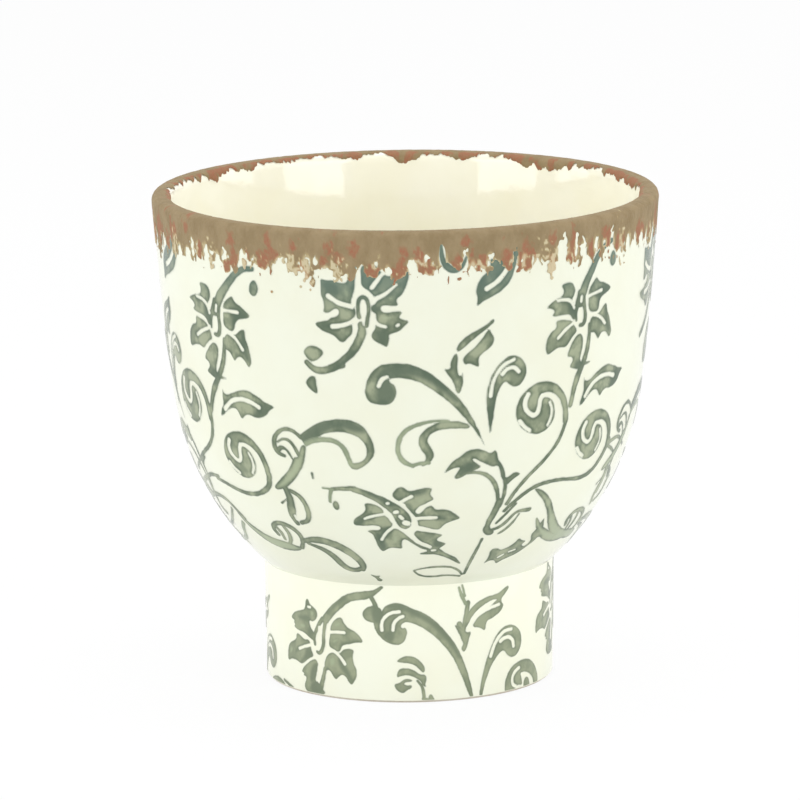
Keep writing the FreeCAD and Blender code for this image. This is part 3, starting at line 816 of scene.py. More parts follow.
# The flower low on the front lies on its side, and its stem swells into a dotted pod
LOW_FLOWER = {
    "fills": [
        [(-26, 107.7), (-22, 108.2), (-17, 110), (-12, 112.4), (-8, 114.6), (-4.6, 117), (-1.4, 120),
         (0.6, 123), (1.6, 126), (1.4, 129), (0.4, 131), (-1.4, 131.9), (-3.4, 131.4), (-5.2, 129.4),
         (-6.4, 126.4), (-7.6, 123), (-9.6, 120.4), (-12, 118), (-15, 115.4), (-19, 113), (-24, 111),
         (-26, 110.4)],
        [(-7.3, 111.5), (-6.4, 109.4), (-4.5, 107.6), (-2, 107.3), (-0.6, 109.2), (0.6, 109.6), (4, 108.6),
         (8, 107.9), (11, 108.4), (9.7, 111.5), (12, 114.2), (9.5, 115.8), (6, 117.6), (3.9, 119.5),
         (3.1, 121.4), (4.5, 122.5), (6.5, 121), (8, 118.6), (10.5, 117.5), (11.6, 118.5), (12.5, 120.2),
         (16, 119.9), (19, 120.6), (22, 123), (25.8, 126.3), (21, 127.5), (17.5, 129.3), (15.2, 132.8),
         (12, 132.3), (8, 130.7), (4.8, 130), (4.4, 128), (4, 126), (3, 124), (1, 121), (-1, 118.5),
         (-1.5, 116.6), (-3.4, 115.6), (-6.2, 114.2)],
        [(-20.4, 117), (-19, 116.2), (-16, 116.6), (-13, 118.4), (-11.4, 120.5), (-11.6, 122.4),
         (-10, 124.4), (-8.7, 126.5), (-7.4, 128.6), (-8.6, 130.6), (-7.4, 131.6), (-5.4, 131.4),
         (-2.5, 134), (0, 137), (3, 140.5), (6, 143.2), (10, 145), (12, 147), (9, 147), (6, 145.6),
         (3, 143), (0, 140.2), (-2, 138.6), (-3, 139.6), (-3.7, 142), (-3.3, 146.1), (-7.5, 145),
         (-10, 145.2), (-12, 146.7), (-14, 148.4), (-16, 145), (-16.7, 141), (-17.5, 138), (-17.8, 135.5),
         (-20.9, 133.5), (-19.5, 132.8), (-17, 132.5), (-14.5, 132.6), (-13.6, 131.3), (-14.5, 130),
         (-17, 129.6), (-22, 130.1), (-27.2, 130), (-26.6, 126.5), (-24.5, 124.5), (-20.7, 121.5),
         (-20, 119)],
        [(3.8, 132.4), (2.5, 134.5), (3, 136.6), (5, 139.5), (7.5, 141.6), (11, 143.2), (12.4, 144.6),
         (11, 146.4), (14.6, 148), (16.4, 146), (20.2, 142.8), (17.5, 141.5), (15, 140.5), (14.4, 139),
         (17.8, 136.3), (14, 135), (10, 134), (6, 133.2)],
        [(9, 146.6), (13, 145.4), (16.4, 145.8), (20, 150), (26, 153.6), (28.4, 157), (31.2, 161.8),
         (26, 158), (21, 154.2), (15.5, 151.2), (11, 150.6), (6, 150.8), (5.6, 149.4), (8, 148.6),
         (10, 148.2)],
    ],
    # Painted light over the shapes
    "painted_light_fills": [
        [(-18, 118.6), (-14, 119), (-13, 121), (-18, 122)],
        [(-18, 126.6), (-11, 125.6), (-10, 128), (-13, 129.4), (-17, 128.6)],
        [(-9, 135), (-5, 135), (-4.6, 141), (-9, 143)], [(3, 114), (8, 111.6), (10, 114), (4, 118)],
        [(10, 120.6), (18, 121.6), (22, 124.4), (16, 123.4)],
        [(7, 128), (14, 127.6), (14, 130.6), (9, 130)],
    ],
    # Painted shade over the shapes
    "painted_shade_fills": [
        [(-27, 129.8), (-26, 126), (-22, 124), (-21, 128), (-23, 129.8)],
        [(-17.6, 134), (-14, 134), (-13, 140), (-11, 143), (-13, 147.6), (-15.6, 145)],
        [(-12, 130.6), (-8.6, 130.4), (-11, 134), (-14, 135)],
        [(0, 109.6), (8, 109), (7, 111), (2.4, 112.6)],
        [(-1, 116), (1, 117), (2, 121), (4.4, 123.6), (1, 121)],
        [(13, 124), (18, 124.6), (18, 127), (13, 126)],
        [(13, 138), (15, 139), (19, 142.6), (16, 146), (12, 144)],
        [(-22, 108.6), (-14, 111.6), (-6, 116.4), (-8, 118.6), (-13, 114.6), (-20, 111)],
    ],
    "veins": [
        (1.5, [(-4, 116), (-1.4, 114.2), (1.4, 112.5)]), (1.7, [(2.6, 125.4), (7, 124.9), (13, 125)]),
        (1.3, [(-11, 122.4), (-15, 123.2), (-18.6, 124.4), (-21, 125.6)]),
        ((1.6, 1.3), [(-7.6, 130.8), (-10, 132.8), (-12, 135.6), (-13.8, 139.2)]),
        (1.2, [(-9.7, 116.4), (-9.3, 116.2)]), (1.9, [(-6.2, 121.4), (-5.4, 121.2)]),
        (1.8, [(-4, 123.8), (-3, 125)]), (2.8, [(-1.5, 127.8), (-0.5, 128.2)]),
        (1.2, [(12.5, 147.6), (14, 147.4)]),
    ],
}

# The leaf in the middle of the front lies open, in three strokes of the tool
FRONT_LEAF = {
    "fills": [
        [(34.9, 35), (35.7, 36.8), (33.4, 38.8), (30, 41), (26, 44), (22.5, 47.3), (20.3, 48.4), (19.6, 47),
         (20.5, 44.8), (23.2, 42.3), (27.5, 39.8), (31.5, 38)],
        [(33.2, 39), (34.3, 41.5), (35.6, 43.3), (35.2, 45.5), (33.3, 47.8), (30.2, 49.8), (29, 51.5),
         (29.5, 55.3), (27, 54.2), (25, 53.4), (23, 54), (22.3, 51.3), (24, 49.2), (27.3, 46.5), (30.3, 43),
         (32, 40.6)],
        [(19.8, 48.2), (20.8, 50), (20.3, 53.5), (20.5, 57), (21.6, 58.5), (22.5, 56.2), (22.8, 60),
         (22.6, 63), (21.5, 66), (20, 65.6), (19, 61.5), (17.2, 58.5), (14, 54.6), (17.4, 55.3),
         (17.3, 52.5), (18.3, 49.7)],
    ],
}

C_SCROLL = {
    "fills": [
        [(-9, 52.2), (0, 52.2), (5, 54), (10, 57), (14, 60.3), (18, 64), (21.5, 67.8), (25.5, 73.5),
         (29.5, 80.8), (33.8, 91), (30.6, 85.5), (26.2, 79.5), (21.5, 73.8), (16.5, 68.8), (11, 64.2),
         (6, 60.8), (1, 59), (-4, 58.4), (-7.4, 58.8), (-6.8, 60.5), (-4.8, 61.3), (-4.2, 64.5), (-5, 67.8),
         (-7.3, 69.8), (-11, 70), (-14.8, 69.3), (-17, 67), (-17.3, 63), (-15.6, 57.5), (-12.5, 54)],
    ],
    "veins": [
        (1.5, [(-8, 58), (-10.2, 58.8), (-11.4, 61.8)]),
    ],
    # Painted shade over the shapes
    "painted_shade_fills": [
        [(-11, 55), (-6, 52.4), (2, 52.4), (8, 55.6), (16, 62), (22, 68.6), (20, 70), (12, 62), (4, 57.6),
         (-3, 57), (-7, 60), (-4.4, 63), (-4.6, 67), (-7, 70), (-12, 70), (-13, 64)],
    ],
    # Painted light over the shapes
    "painted_light_fills": [
        [(-12.6, 54.6), (-15.8, 58), (-17.2, 63), (-16.4, 67.4), (-14.6, 66), (-14.6, 61), (-12.4, 57)],
    ],
}

FERN = {
    "fills": [
        [(35, 85.6), (33.6, 77), (32.6, 70), (33, 64), (34.6, 58.8), (37.6, 54.2), (41.5, 51.4), (45, 51.2),
         (48.4, 53.2), (50.4, 57), (50, 61), (47.8, 64), (45, 64.9), (42.6, 63.6), (41, 61.8), (39.2, 63.3),
         (37.6, 67.2), (36.6, 72), (36, 79)],
    ],
    "veins": [
        (1.3, [(34.5, 67.6), (35, 63), (36.8, 58.4), (39.8, 54.8), (44.3, 53)]),
        (1.3, [(39.3, 58.8), (41.3, 56.6), (44.5, 56), (46.7, 58.3)]),
    ],
    # Painted shade over the shapes
    "painted_shade_fills": [
        [(32.6, 67), (36.4, 65), (37, 72), (36, 84), (34, 80)],
    ],
}

ACANTHUS = {
    "stems": [
        ((1.6, 2.2, 2.4, 2.2), [(26, 101.6), (30, 101.4), (34, 102.5), (37.5, 105.2), (40, 109.2),
         (41.8, 114), (42.6, 119)]),
        ((2.2, 2, 2.2), [(44, 106), (44.9, 110.5), (44.9, 116), (43.8, 121)]),
        ((4, 3.6, 3), [(43.2, 118), (41.6, 125), (39.6, 131.5), (39.6, 136)]),
    ],
    "fills": [
        [(15.4, 101.4), (17, 98), (19.5, 95), (22.8, 93.2), (24.5, 91.2), (28.5, 89.9), (32.5, 91),
         (36, 93), (37.8, 91), (39.2, 93.8), (39.8, 96.2), (41.8, 98.6), (43.4, 102), (44.6, 106),
         (43.2, 107.4), (41.5, 104), (40.5, 100.6), (39.5, 99), (37.5, 99.8), (35, 98.4), (32, 96.8),
         (29, 95), (27.6, 94.9), (30, 97.3), (32.5, 98.9), (29.5, 100.6), (26.4, 101.4), (24, 103.5),
         (21, 104.5), (20, 103.2), (21.4, 100.4), (22.8, 98.4), (20, 99), (17.6, 100)],
        [(44, 105.6), (46, 104.8), (48.5, 102.9), (52.2, 104.4), (48.8, 106.4), (46.5, 108.6), (45.3, 110)],
        [(38.7, 131), (40.5, 129), (41.2, 132.5), (42.3, 135), (44.6, 136), (44.2, 138.8), (41, 139.2),
         (38.3, 137), (37.4, 134)],
    ],
    # Painted shade over the shapes
    "painted_shade_fills": [
        [(22.6, 98), (27, 95.4), (31, 98.6), (26.4, 101.4), (22, 104)],
        [(38, 92), (40, 97), (44, 103), (43.6, 107), (40, 100)],
    ],
}

CURL_AND_DROP = {
    "stems": [
        ((1.8, 2, 2.8, 2), [(-46, 86), (-49, 83.2), (-53, 82.2), (-57, 84), (-59.6, 87.4), (-60, 91),
         (-58.4, 94), (-55.4, 95)]),
        ((1.2, 2, 1.8), [(-58, 88.8), (-55, 87), (-52, 87.5), (-50, 90), (-48.6, 93), (-47.6, 95.6)]),
        ((2.6, 1.6, 1.2), [(-58, 92.6), (-56.4, 91), (-54, 91.8), (-52.6, 94), (-51.6, 96)]),
        ((3.4, 4.4, 5, 4.4, 2.8), [(-58.4, 111.6), (-57.2, 117), (-58.4, 123), (-59.2, 128), (-57.8, 132)]),
        ((2.4, 3, 2.8), [(-56, 112.6), (-52.2, 114.4), (-49.6, 119), (-49.2, 125), (-51, 129.6),
         (-55, 131)]),
        ((1.4, 1), [(-63, 120.2), (-59.4, 117.4)]),
    ],
    "faint": [
        ((2.4, 2.4, 2.4), [(-44, 88.4), (-40, 86.4), (-35, 85.6), (-30.4, 86.4), (-27.2, 89), (-25.8, 92.6),
         (-24.6, 96.6)]),
    ],
    "fills": [
        [(-46.8, 84.5), (-42, 81), (-37, 78), (-31, 76.5), (-24, 76.3), (-19, 78.5), (-15.5, 83),
         (-13.8, 88.5), (-14.3, 92.5), (-17, 96), (-20.5, 98.5), (-22.5, 99.5), (-25, 98.7), (-25.4, 96.4),
         (-23, 95.8), (-20.5, 95.6), (-18, 93.4), (-17.3, 89.5), (-18.6, 86), (-22, 83.2), (-28, 81.9),
         (-34, 82.8), (-37.5, 84.5), (-40, 86.5), (-44.4, 89.6), (-46.2, 87)],
    ],
    "pale_fills": [
        [(-43.8, 88.6), (-45, 94), (-47, 99.5), (-50.5, 104.5), (-55.5, 109.8), (-60, 112.2),
         (-63.8, 113.2), (-64.8, 111.5), (-61, 107.5), (-56, 103.2), (-52.6, 98.8), (-50.8, 94.8),
         (-49.2, 95), (-47.8, 92.5), (-46.6, 89)],
    ],
    "veins": [
        (1, [(-57.6, 127), (-57.2, 129.4)]),
    ],
    # Painted shade over the shapes
    "painted_shade_fills": [
        [(-46.8, 85), (-42, 81), (-37, 78), (-31, 76.6), (-24, 76.6), (-19, 79), (-17, 82), (-22, 82),
         (-28, 80), (-34, 82), (-40, 86), (-45, 88.6)],
    ],
}

TEARDROP = {
    "stems": [
        ((3, 3.4, 3.2, 3), [(-62, 150), (-59.6, 146), (-58.8, 141), (-61, 136.6), (-65, 134), (-70, 133.2),
         (-74.6, 135), (-76.2, 138.6), (-74.6, 142)]),
        ((2.4, 3, 2.4), [(-68, 135), (-66.2, 140), (-67.4, 145.4), (-70, 149)]),
        ((2, 2.6, 2.2), [(-73.4, 136.6), (-71.4, 140.6), (-71.4, 145)]),
        ((3.6, 5.2, 5.8, 5.6, 5.2, 4), [(-59, 144.3), (-53, 142.3), (-46, 142.2), (-39, 144.7),
         (-33, 149.5), (-28.8, 155), (-26.8, 160.5), (-28, 165)]),
        ((2.4, 4.2, 5, 5.2, 4.8, 4.2), [(-56, 145.8), (-50, 148), (-45, 151.6), (-42, 156.5), (-40, 161.5),
         (-36.5, 165.4), (-32, 166), (-28.5, 164)]),
    ],
    "pale_fills": [
        [(-103.6, 130), (-99, 135), (-96, 138), (-90, 142), (-84, 145), (-78, 146.2), (-71, 147),
         (-64, 149.4), (-61, 149), (-63, 152), (-68, 154), (-76, 154.4), (-85, 152), (-92, 148), (-98, 142),
         (-102, 136)],
    ],
}

# Sprays that stand only once on the front
SPRAYS = {
    "stems": [
        ((2.8, 3.4, 2.4), [(-26, 53.4), (-31, 55.4), (-35.6, 56.4), (-38.6, 55.4), (-41.2, 53)]),
        ((2.6, 2.2), [(-24, 108.7), (-30, 108.9), (-34.6, 109.6)]),
        ((2.2, 2.2), [(47.4, 119.8), (50, 114), (55, 107), (60, 102), (65.4, 96.6), (70, 90), (72, 83)]),
        ((2.2, 2.4, 2.2, 3, 3.4), [(47, 124), (50, 120.4), (54, 116.6), (59, 113), (65, 111), (75, 110.8),
         (83, 112), (90, 112.6), (96, 111.4), (101, 107.4), (104.6, 101.4), (106, 97)]),
        ((2.6, 2.2, 2), [(105.6, 98.6), (109, 98), (114, 97), (119, 98.4), (126, 103)]),
        ((2, 2), [(107, 100), (113, 103), (118, 106.5), (117, 113), (119, 117.5), (124, 119.5)]),
        ((2, 2, 1.8), [(52.4, 120.6), (48.4, 126), (44.4, 131.2)]),
        ((1.6, 2.4, 2.2), [(57, 124.8), (53.2, 126), (50, 131), (46.6, 134.4), (42.8, 135.6)]),
        ((1.4, 2.2, 1.6), [(56, 127), (54, 132), (50.6, 136.6), (47.4, 138.6)]),
        ((2.4, 2.8), [(57, 125.2), (61.4, 125.2)]),
        ((2, 2.4, 2.4), [(38.8, 141.4), (37.3, 150), (35.8, 160), (35, 171)]),
        ((1.6, 2, 1.8), [(3, 165), (8, 163), (15, 162), (22, 162.2), (27, 164), (31, 167.6),
         (33.6, 171.6)]),
        ((1.6, 2.2, 1.8), [(3, 165.4), (5, 169), (9, 171.4), (15, 172.2), (22, 171.2), (28, 172),
         (32.6, 173.4)]),
        ((2.4, 2.2), [(-97, 78), (-96.5, 84), (-98, 91), (-103, 97), (-110, 101), (-120, 107),
         (-132, 114)]),
        ((3.2, 2.6, 2.4), [(-66, 105), (-67, 111), (-72, 115.3), (-78, 117.6), (-85, 118.2), (-93, 117),
         (-100, 115.2), (-107, 114.2)]),
        ((2, 2.6, 2.8), [(-104.6, 112.8), (-112, 113), (-120, 116), (-132, 121)]),
        ((3.4, 3, 3), [(-132, 129), (-120, 125.4), (-112, 125.2), (-106, 127), (-102, 131), (-98, 136)]),
        ((2.2, 2.8), [(-107, 131.6), (-111, 136), (-117, 141), (-125, 145.6), (-132, 148)]),
        ((1.6, 1.2), [(-43, 102.3), (-43, 104.7)]),
        ((1.6, 3.2, 2.8, 1.6), [(13.6, 5), (13.8, 10.4), (16, 14), (19, 15.3), (22, 13.6), (23.6, 10)]),
    ],
    "faint": [
        ((1.4, 1.2), [(-34.6, 109.6), (-39, 109.3)]),
        ((2.2, 1.6), [(-35, 110), (-36.2, 113), (-36.5, 116.6)]),
        ((1.2, 2.2, 2.4, 2.2), [(17, 77), (10, 77), (3, 78.6), (-2.4, 82), (-4.2, 87), (-4, 92),
         (-1.4, 95.6), (2, 97)]),
        ((2, 1.8), [(2, 96.8), (6, 95.6), (9, 95.8)]),
        ((3.2, 3.6), [(-103, 140), (-108, 145), (-112, 151), (-118, 155), (-132, 159)]),
    ],
    "fills": [
        [(-42.6, 61.6), (-40, 58.6), (-37.6, 58.6), (-37.4, 62), (-36.8, 66.4), (-39.6, 65.4)],
        [(-42.8, 49), (-41, 46.4), (-37.4, 45.6), (-34, 47.6), (-33.8, 49.6), (-36.4, 52), (-39.6, 53)],
        [(-35.9, 118), (-34.5, 115.6), (-32.9, 116), (-32.2, 118.6), (-32.9, 121.4), (-35, 121)],
        [(26.4, 80.6), (24.6, 81.2), (19, 80.6), (13.4, 80.8), (9.6, 82.6), (8.2, 85.4), (9.2, 88),
         (11, 90.4), (11.2, 93.4), (9, 96.4), (6, 97.6), (5, 96), (7.4, 94.6), (7.6, 92.4), (5.4, 89.6),
         (4, 86.4), (5.2, 82.4), (9, 79), (13.6, 77.2), (19, 77), (25, 78.6)],
        [(-24.4, 169.4), (-21, 171), (-17.4, 170.4), (-19.4, 173), (-16.8, 175), (-18, 177.6), (-20.6, 177),
         (-21, 174), (-23, 172)],
        [(73.8, 131.6), (75, 135.5), (77, 140.5), (80.8, 148.4), (76, 146), (74.6, 149.4), (70, 154),
         (65.5, 158), (61, 160), (57.5, 161.5), (54.4, 164.8), (52, 160.6), (48.5, 160.2), (44.8, 163.6),
         (46.8, 158), (46, 150.2), (50, 149.6), (53, 152), (57, 150.4), (60, 148), (62, 144), (65, 146.5),
         (68.8, 147.6), (66, 150), (69, 152.4), (72, 148), (69.4, 143.2), (71.6, 139.5)],
    ],
    "pale_fills": [
        [(60, 113.4), (64, 113.6), (69, 117), (74, 122), (78, 128), (81, 132), (86, 137.6), (92, 142.4),
         (98, 145.4), (106, 147), (116, 149), (116, 156), (106, 155), (97, 152), (90, 149.6), (84, 145),
         (79, 139), (75.4, 132), (72, 126), (67, 119.6)],
    ],
    "veins": [
        (1.2, [(53.4, 158.4), (56.4, 156.2)]), (1.2, [(59.4, 154.6), (63, 153.6)]),
    ],
}


def soften(points, closed):
    """Corners cut twice, so that a line drawn with a few points runs smoothly. Points become complex."""
    line = np.array([complex(*point) for point in points])
    for _ in range(2):
        after = np.roll(line, -1) if closed else line[1:]
        before = line if closed else line[:-1]
        cut = np.stack([before * 0.75 + after * 0.25, before * 0.25 + after * 0.75], 1).ravel()
        line = cut if closed else np.concatenate([line[:1], cut[1:-1], line[-1:]])
    return line


def way_to_line(place, start, end):
    """Share of the line from start to end that is nearest to each place, and how far off that is."""
    run = end - start
    share = np.clip(((place - start) * run.conjugate()).real / abs(run) ** 2, 0, 1)
    return share, np.abs(place - start - share * run)


# Anchors, and spots, that leave a motif where it was drawn
HERE = ((0, 0), (1, 0))


class Drawing:
    """Fields over a flat sheet in the vine's units: above zero in a shape, rising inwards from its edge."""

    # The deep layer holds painted shade; the pale layer holds thinner glaze and painted light
    layers_of_kind = {
        "stems": ["green"], "faint": ["green", "faint"], "veins": ["vein"], "fills": ["green"],
        "pale_fills": ["green", "pale"], "painted_light_fills": ["pale"], "painted_shade_fills": ["deep"]}
    far = -4.0
    margin = 2

    def __init__(self, period, top, bottom, cell):
        self.period = period
        self.across = np.linspace(-period / 2, period / 2, round(period / cell) + 1)
        self.down = np.linspace(top, bottom, round((bottom - top) / cell) + 1)
        self.places = self.across[None, :] + 1j * self.down[:, None]
        names = ("green", "vein", "faint", "pale", "deep")
        self.layers = {name: np.full(self.places.shape, self.far) for name in names}

    def windows(self, points, margin):
        """Parts of the sheet near some points, once for each turn of the period that reaches the sheet."""
        for shift in (-self.period, 0, self.period):
            left, right = points.real.min() + shift - margin, points.real.max() + shift + margin
            low, high = points.imag.min() - margin, points.imag.max() + margin
            columns = slice(*np.searchsorted(self.across, (left, right)))
            rows = slice(*np.searchsorted(self.down, (low, high)))
            if columns.stop > columns.start and rows.stop > rows.start:
                yield (rows, columns), self.places[rows, columns] - shift

    def draw_stroke(self, layer, line, widths):
        halves = np.interp(np.linspace(0, 1, len(line)), np.linspace(0, 1, len(widths)), widths) / 2
        for start, end, near, far in zip(line, line[1:], halves, halves[1:]):
            for window, place in self.windows(np.array([start, end]), max(near, far) + self.margin):
                share, away = way_to_line(place, start, end)
                layer[window] = np.maximum(layer[window], near + (far - near) * share - away)

    def fill_outline(self, layer, line):
        for window, place in self.windows(line, self.margin):
            gap = np.full(place.shape, -self.far)
            winding = np.zeros(place.shape)
            for start, end in zip(line, np.roll(line, -1)):
                gap = np.minimum(gap, way_to_line(place, start, end)[1])
                winding += np.angle((end - place) / (start - place))
            inside = np.abs(winding) > math.pi
            layer[window] = np.maximum(layer[window], np.where(inside, gap, -gap))

    def lay(self, motif, anchors=HERE, spots=HERE):
        """Draws a motif so that its two anchors fall on two spots of the sheet."""
        first, second = (complex(*anchor) for anchor in anchors)
        goal, goal_end = (complex(*spot) for spot in spots)
        turn = (goal_end - goal) / (second - first)
        for kind, shapes in motif.items():
            closed = kind.endswith("fills")
            for shape in shapes:
                widths, points = (0, shape) if closed else shape
                line = goal + turn * (soften(points, closed) - first)
                for name in self.layers_of_kind[kind]:
                    if closed:
                        self.fill_outline(self.layers[name], line)
                    else:
                        self.draw_stroke(self.layers[name], line, np.atleast_1d(widths) * abs(turn))

    def field(self):
        """Green glaze outside its veins, with an edge that trembles as a pressed one does."""
        columns, rows = self.across * TREMBLE_PITCH, self.down * TREMBLE_PITCH
        tremble = np.array([[noise.noise((u, w, TREMBLE_SEED)) for u in columns] for w in rows])
        tremble[:, -1] = tremble[:, 0]
        return np.minimum(self.layers["green"], -self.layers["vein"]) + TREMBLE * tremble

    def marks(self, field):
        """How deep the glaze pools; where it runs thin, in one mark with painted light; and where painted
        shade lies.
        """
        faint = smooth_step(self.layers["faint"], *FAINT_EDGE)
        # Thinner glaze of the pale fills, and painted light of the light fills
        pale = smooth_step(self.layers["pale"], *PALE_AND_PAINTED_LIGHT_EDGE)
        thin = np.maximum(FAINT_THINNESS * faint, PALE_AND_PAINTED_LIGHT_THINNESS * pale)
        # Painted shade of the deep fills
        deep = smooth_step(self.layers["deep"], *PAINTED_SHADE_EDGE)
        return {"pool": np.maximum(field, 0), "thin": thin, "deep": deep}


def shifted(spots, across, down=0):
    return tuple((u + across, w + down) for u, w in spots)


TURN_LENGTH = 2 * math.pi * UNITS_PER_RADIUS
bowl_vine = Drawing(TURN_LENGTH / VINE_COPIES, VINE_TOP, VINE_BOTTOM, VINE_CELL)
for motif, motif_spots in ((FLOWER, FLOWER_SPOTS), (LEAF, LEAF_SPOTS), (SPIRAL, SPIRAL_SPOTS)):
    for spots in motif_spots:
        bowl_vine.lay(motif, motif_spots[0], spots)
# These stand on the front, and once more this far to the side
STEPS_ASIDE = [
    (FRONT_FLOWER, 158), (LOW_FLOWER, 165), (C_SCROLL, -160), (FERN, -168), (ACANTHUS, -163),
    (CURL_AND_DROP, 172), (TEARDROP, 171),
]
for motif, step_aside in STEPS_ASIDE:
    bowl_vine.lay(motif)
    bowl_vine.lay(motif, HERE, shifted(HERE, step_aside))
bowl_vine.lay(FRONT_LEAF)
bowl_vine.lay(SPRAYS)


def make_green():
    """Colour follows how deep the glaze pools: cream where it bleeds out, then dark, paler in the middle.
    The green is cooler under the rim and paler on the foot. Painted shade darkens it and painted light
    lightens it."""
    sizes = (GREEN_CLOUD_SIZE, GREEN_GRAIN_SIZE, GREEN_STRETCH)
    green, tree, shader, cloud = new_finish("green_glaze", *sizes)
    pool, thin, deep = (read_mark(tree, name) for name in ("pool", "thin", "deep"))
    place = add(tree, "ShaderNodeTexCoord").outputs["Object"]
    height = add(tree, "ShaderNodeSeparateXYZ", {0: place}).outputs["Z"]
    middle = blend_colours(tree, between(tree, cloud["Cloud"], *MIDDLE_CLOUD), GREEN_MID, GREEN_PALE)
    clouded_pool = work_out(tree, "MULTIPLY_ADD", cloud["Cloud"], POOL_CLOUD, pool)
    body = blend_colours(tree, between(tree, clouded_pool, *POOL_EDGE), GREEN_EDGE, middle)
    # Painted shade darkens the green
    with_painted_shade = blend_colours(tree, work_out(tree, "MULTIPLY", deep, PAINTED_SHADE_SHARE), body, GREEN_PAINTED_SHADE)
    on_foot = between(tree, height, *FOOT_RISE, FOOT_PALE_SHARE, 0.0)
    lifted = blend_colours(tree, on_foot, with_painted_shade, GREEN_PALE)
    under_rim = between(tree, height, *TEAL_RISE, 0.0, TEAL_SHARE)
    cooled = blend_colours(tree, under_rim, lifted, GREEN_TEAL)
    # Paler where the glaze runs thin, and painted light
    thinned_and_painted_light = blend_colours(tree, thin, cooled, GREEN_THIN_AND_PAINTED_LIGHT)
    colour = blend_colours(tree, between(tree, pool, *BLEED_EDGE), CREAM, thinned_and_painted_light)
    set_surface(tree, shader, cloud, colour, GREEN_ROUGHNESS, GREEN_GRAIN_DEPTH)
    return green


green = make_green()


def make_vine(name, drawing, points, start, profile, copies):
    """Green film of a drawing, thrown onto a profile. Start is where the drawing's rows begin to count."""
    lengths = lengths_along(points)
    middles = (points.real[1:] + points.real[:-1]) / 2
    rows = np.concatenate([[0], np.cumsum(np.diff(lengths) / middles)]) * UNITS_PER_RADIUS
    rows -= np.interp(start, lengths, rows)
    along = np.interp(drawing.down, rows, lengths)
    field = drawing.field() + VINE_BLEED
    lift = VINE_EDGE_LIFT + smooth_step(field, 0, VINE_SHOULDER) * VINE_LIFT
    angles = drawing.across / UNITS_PER_RADIUS
    sheet = cut_from_sheet(name, field, angles, along, lift, drawing.marks(field))
    return throw(name, sheet, profile, green, copies)


rim_run = RIM_BAND_HEIGHT / math.cos(WALL_LEAN)
band_place = outer_lengths[np.argmin(np.abs(outer_points - band_foot))]
make_vine("vine_on_bowl", bowl_vine, outer_points, band_place - rim_run, outer_profile, VINE_COPIES)


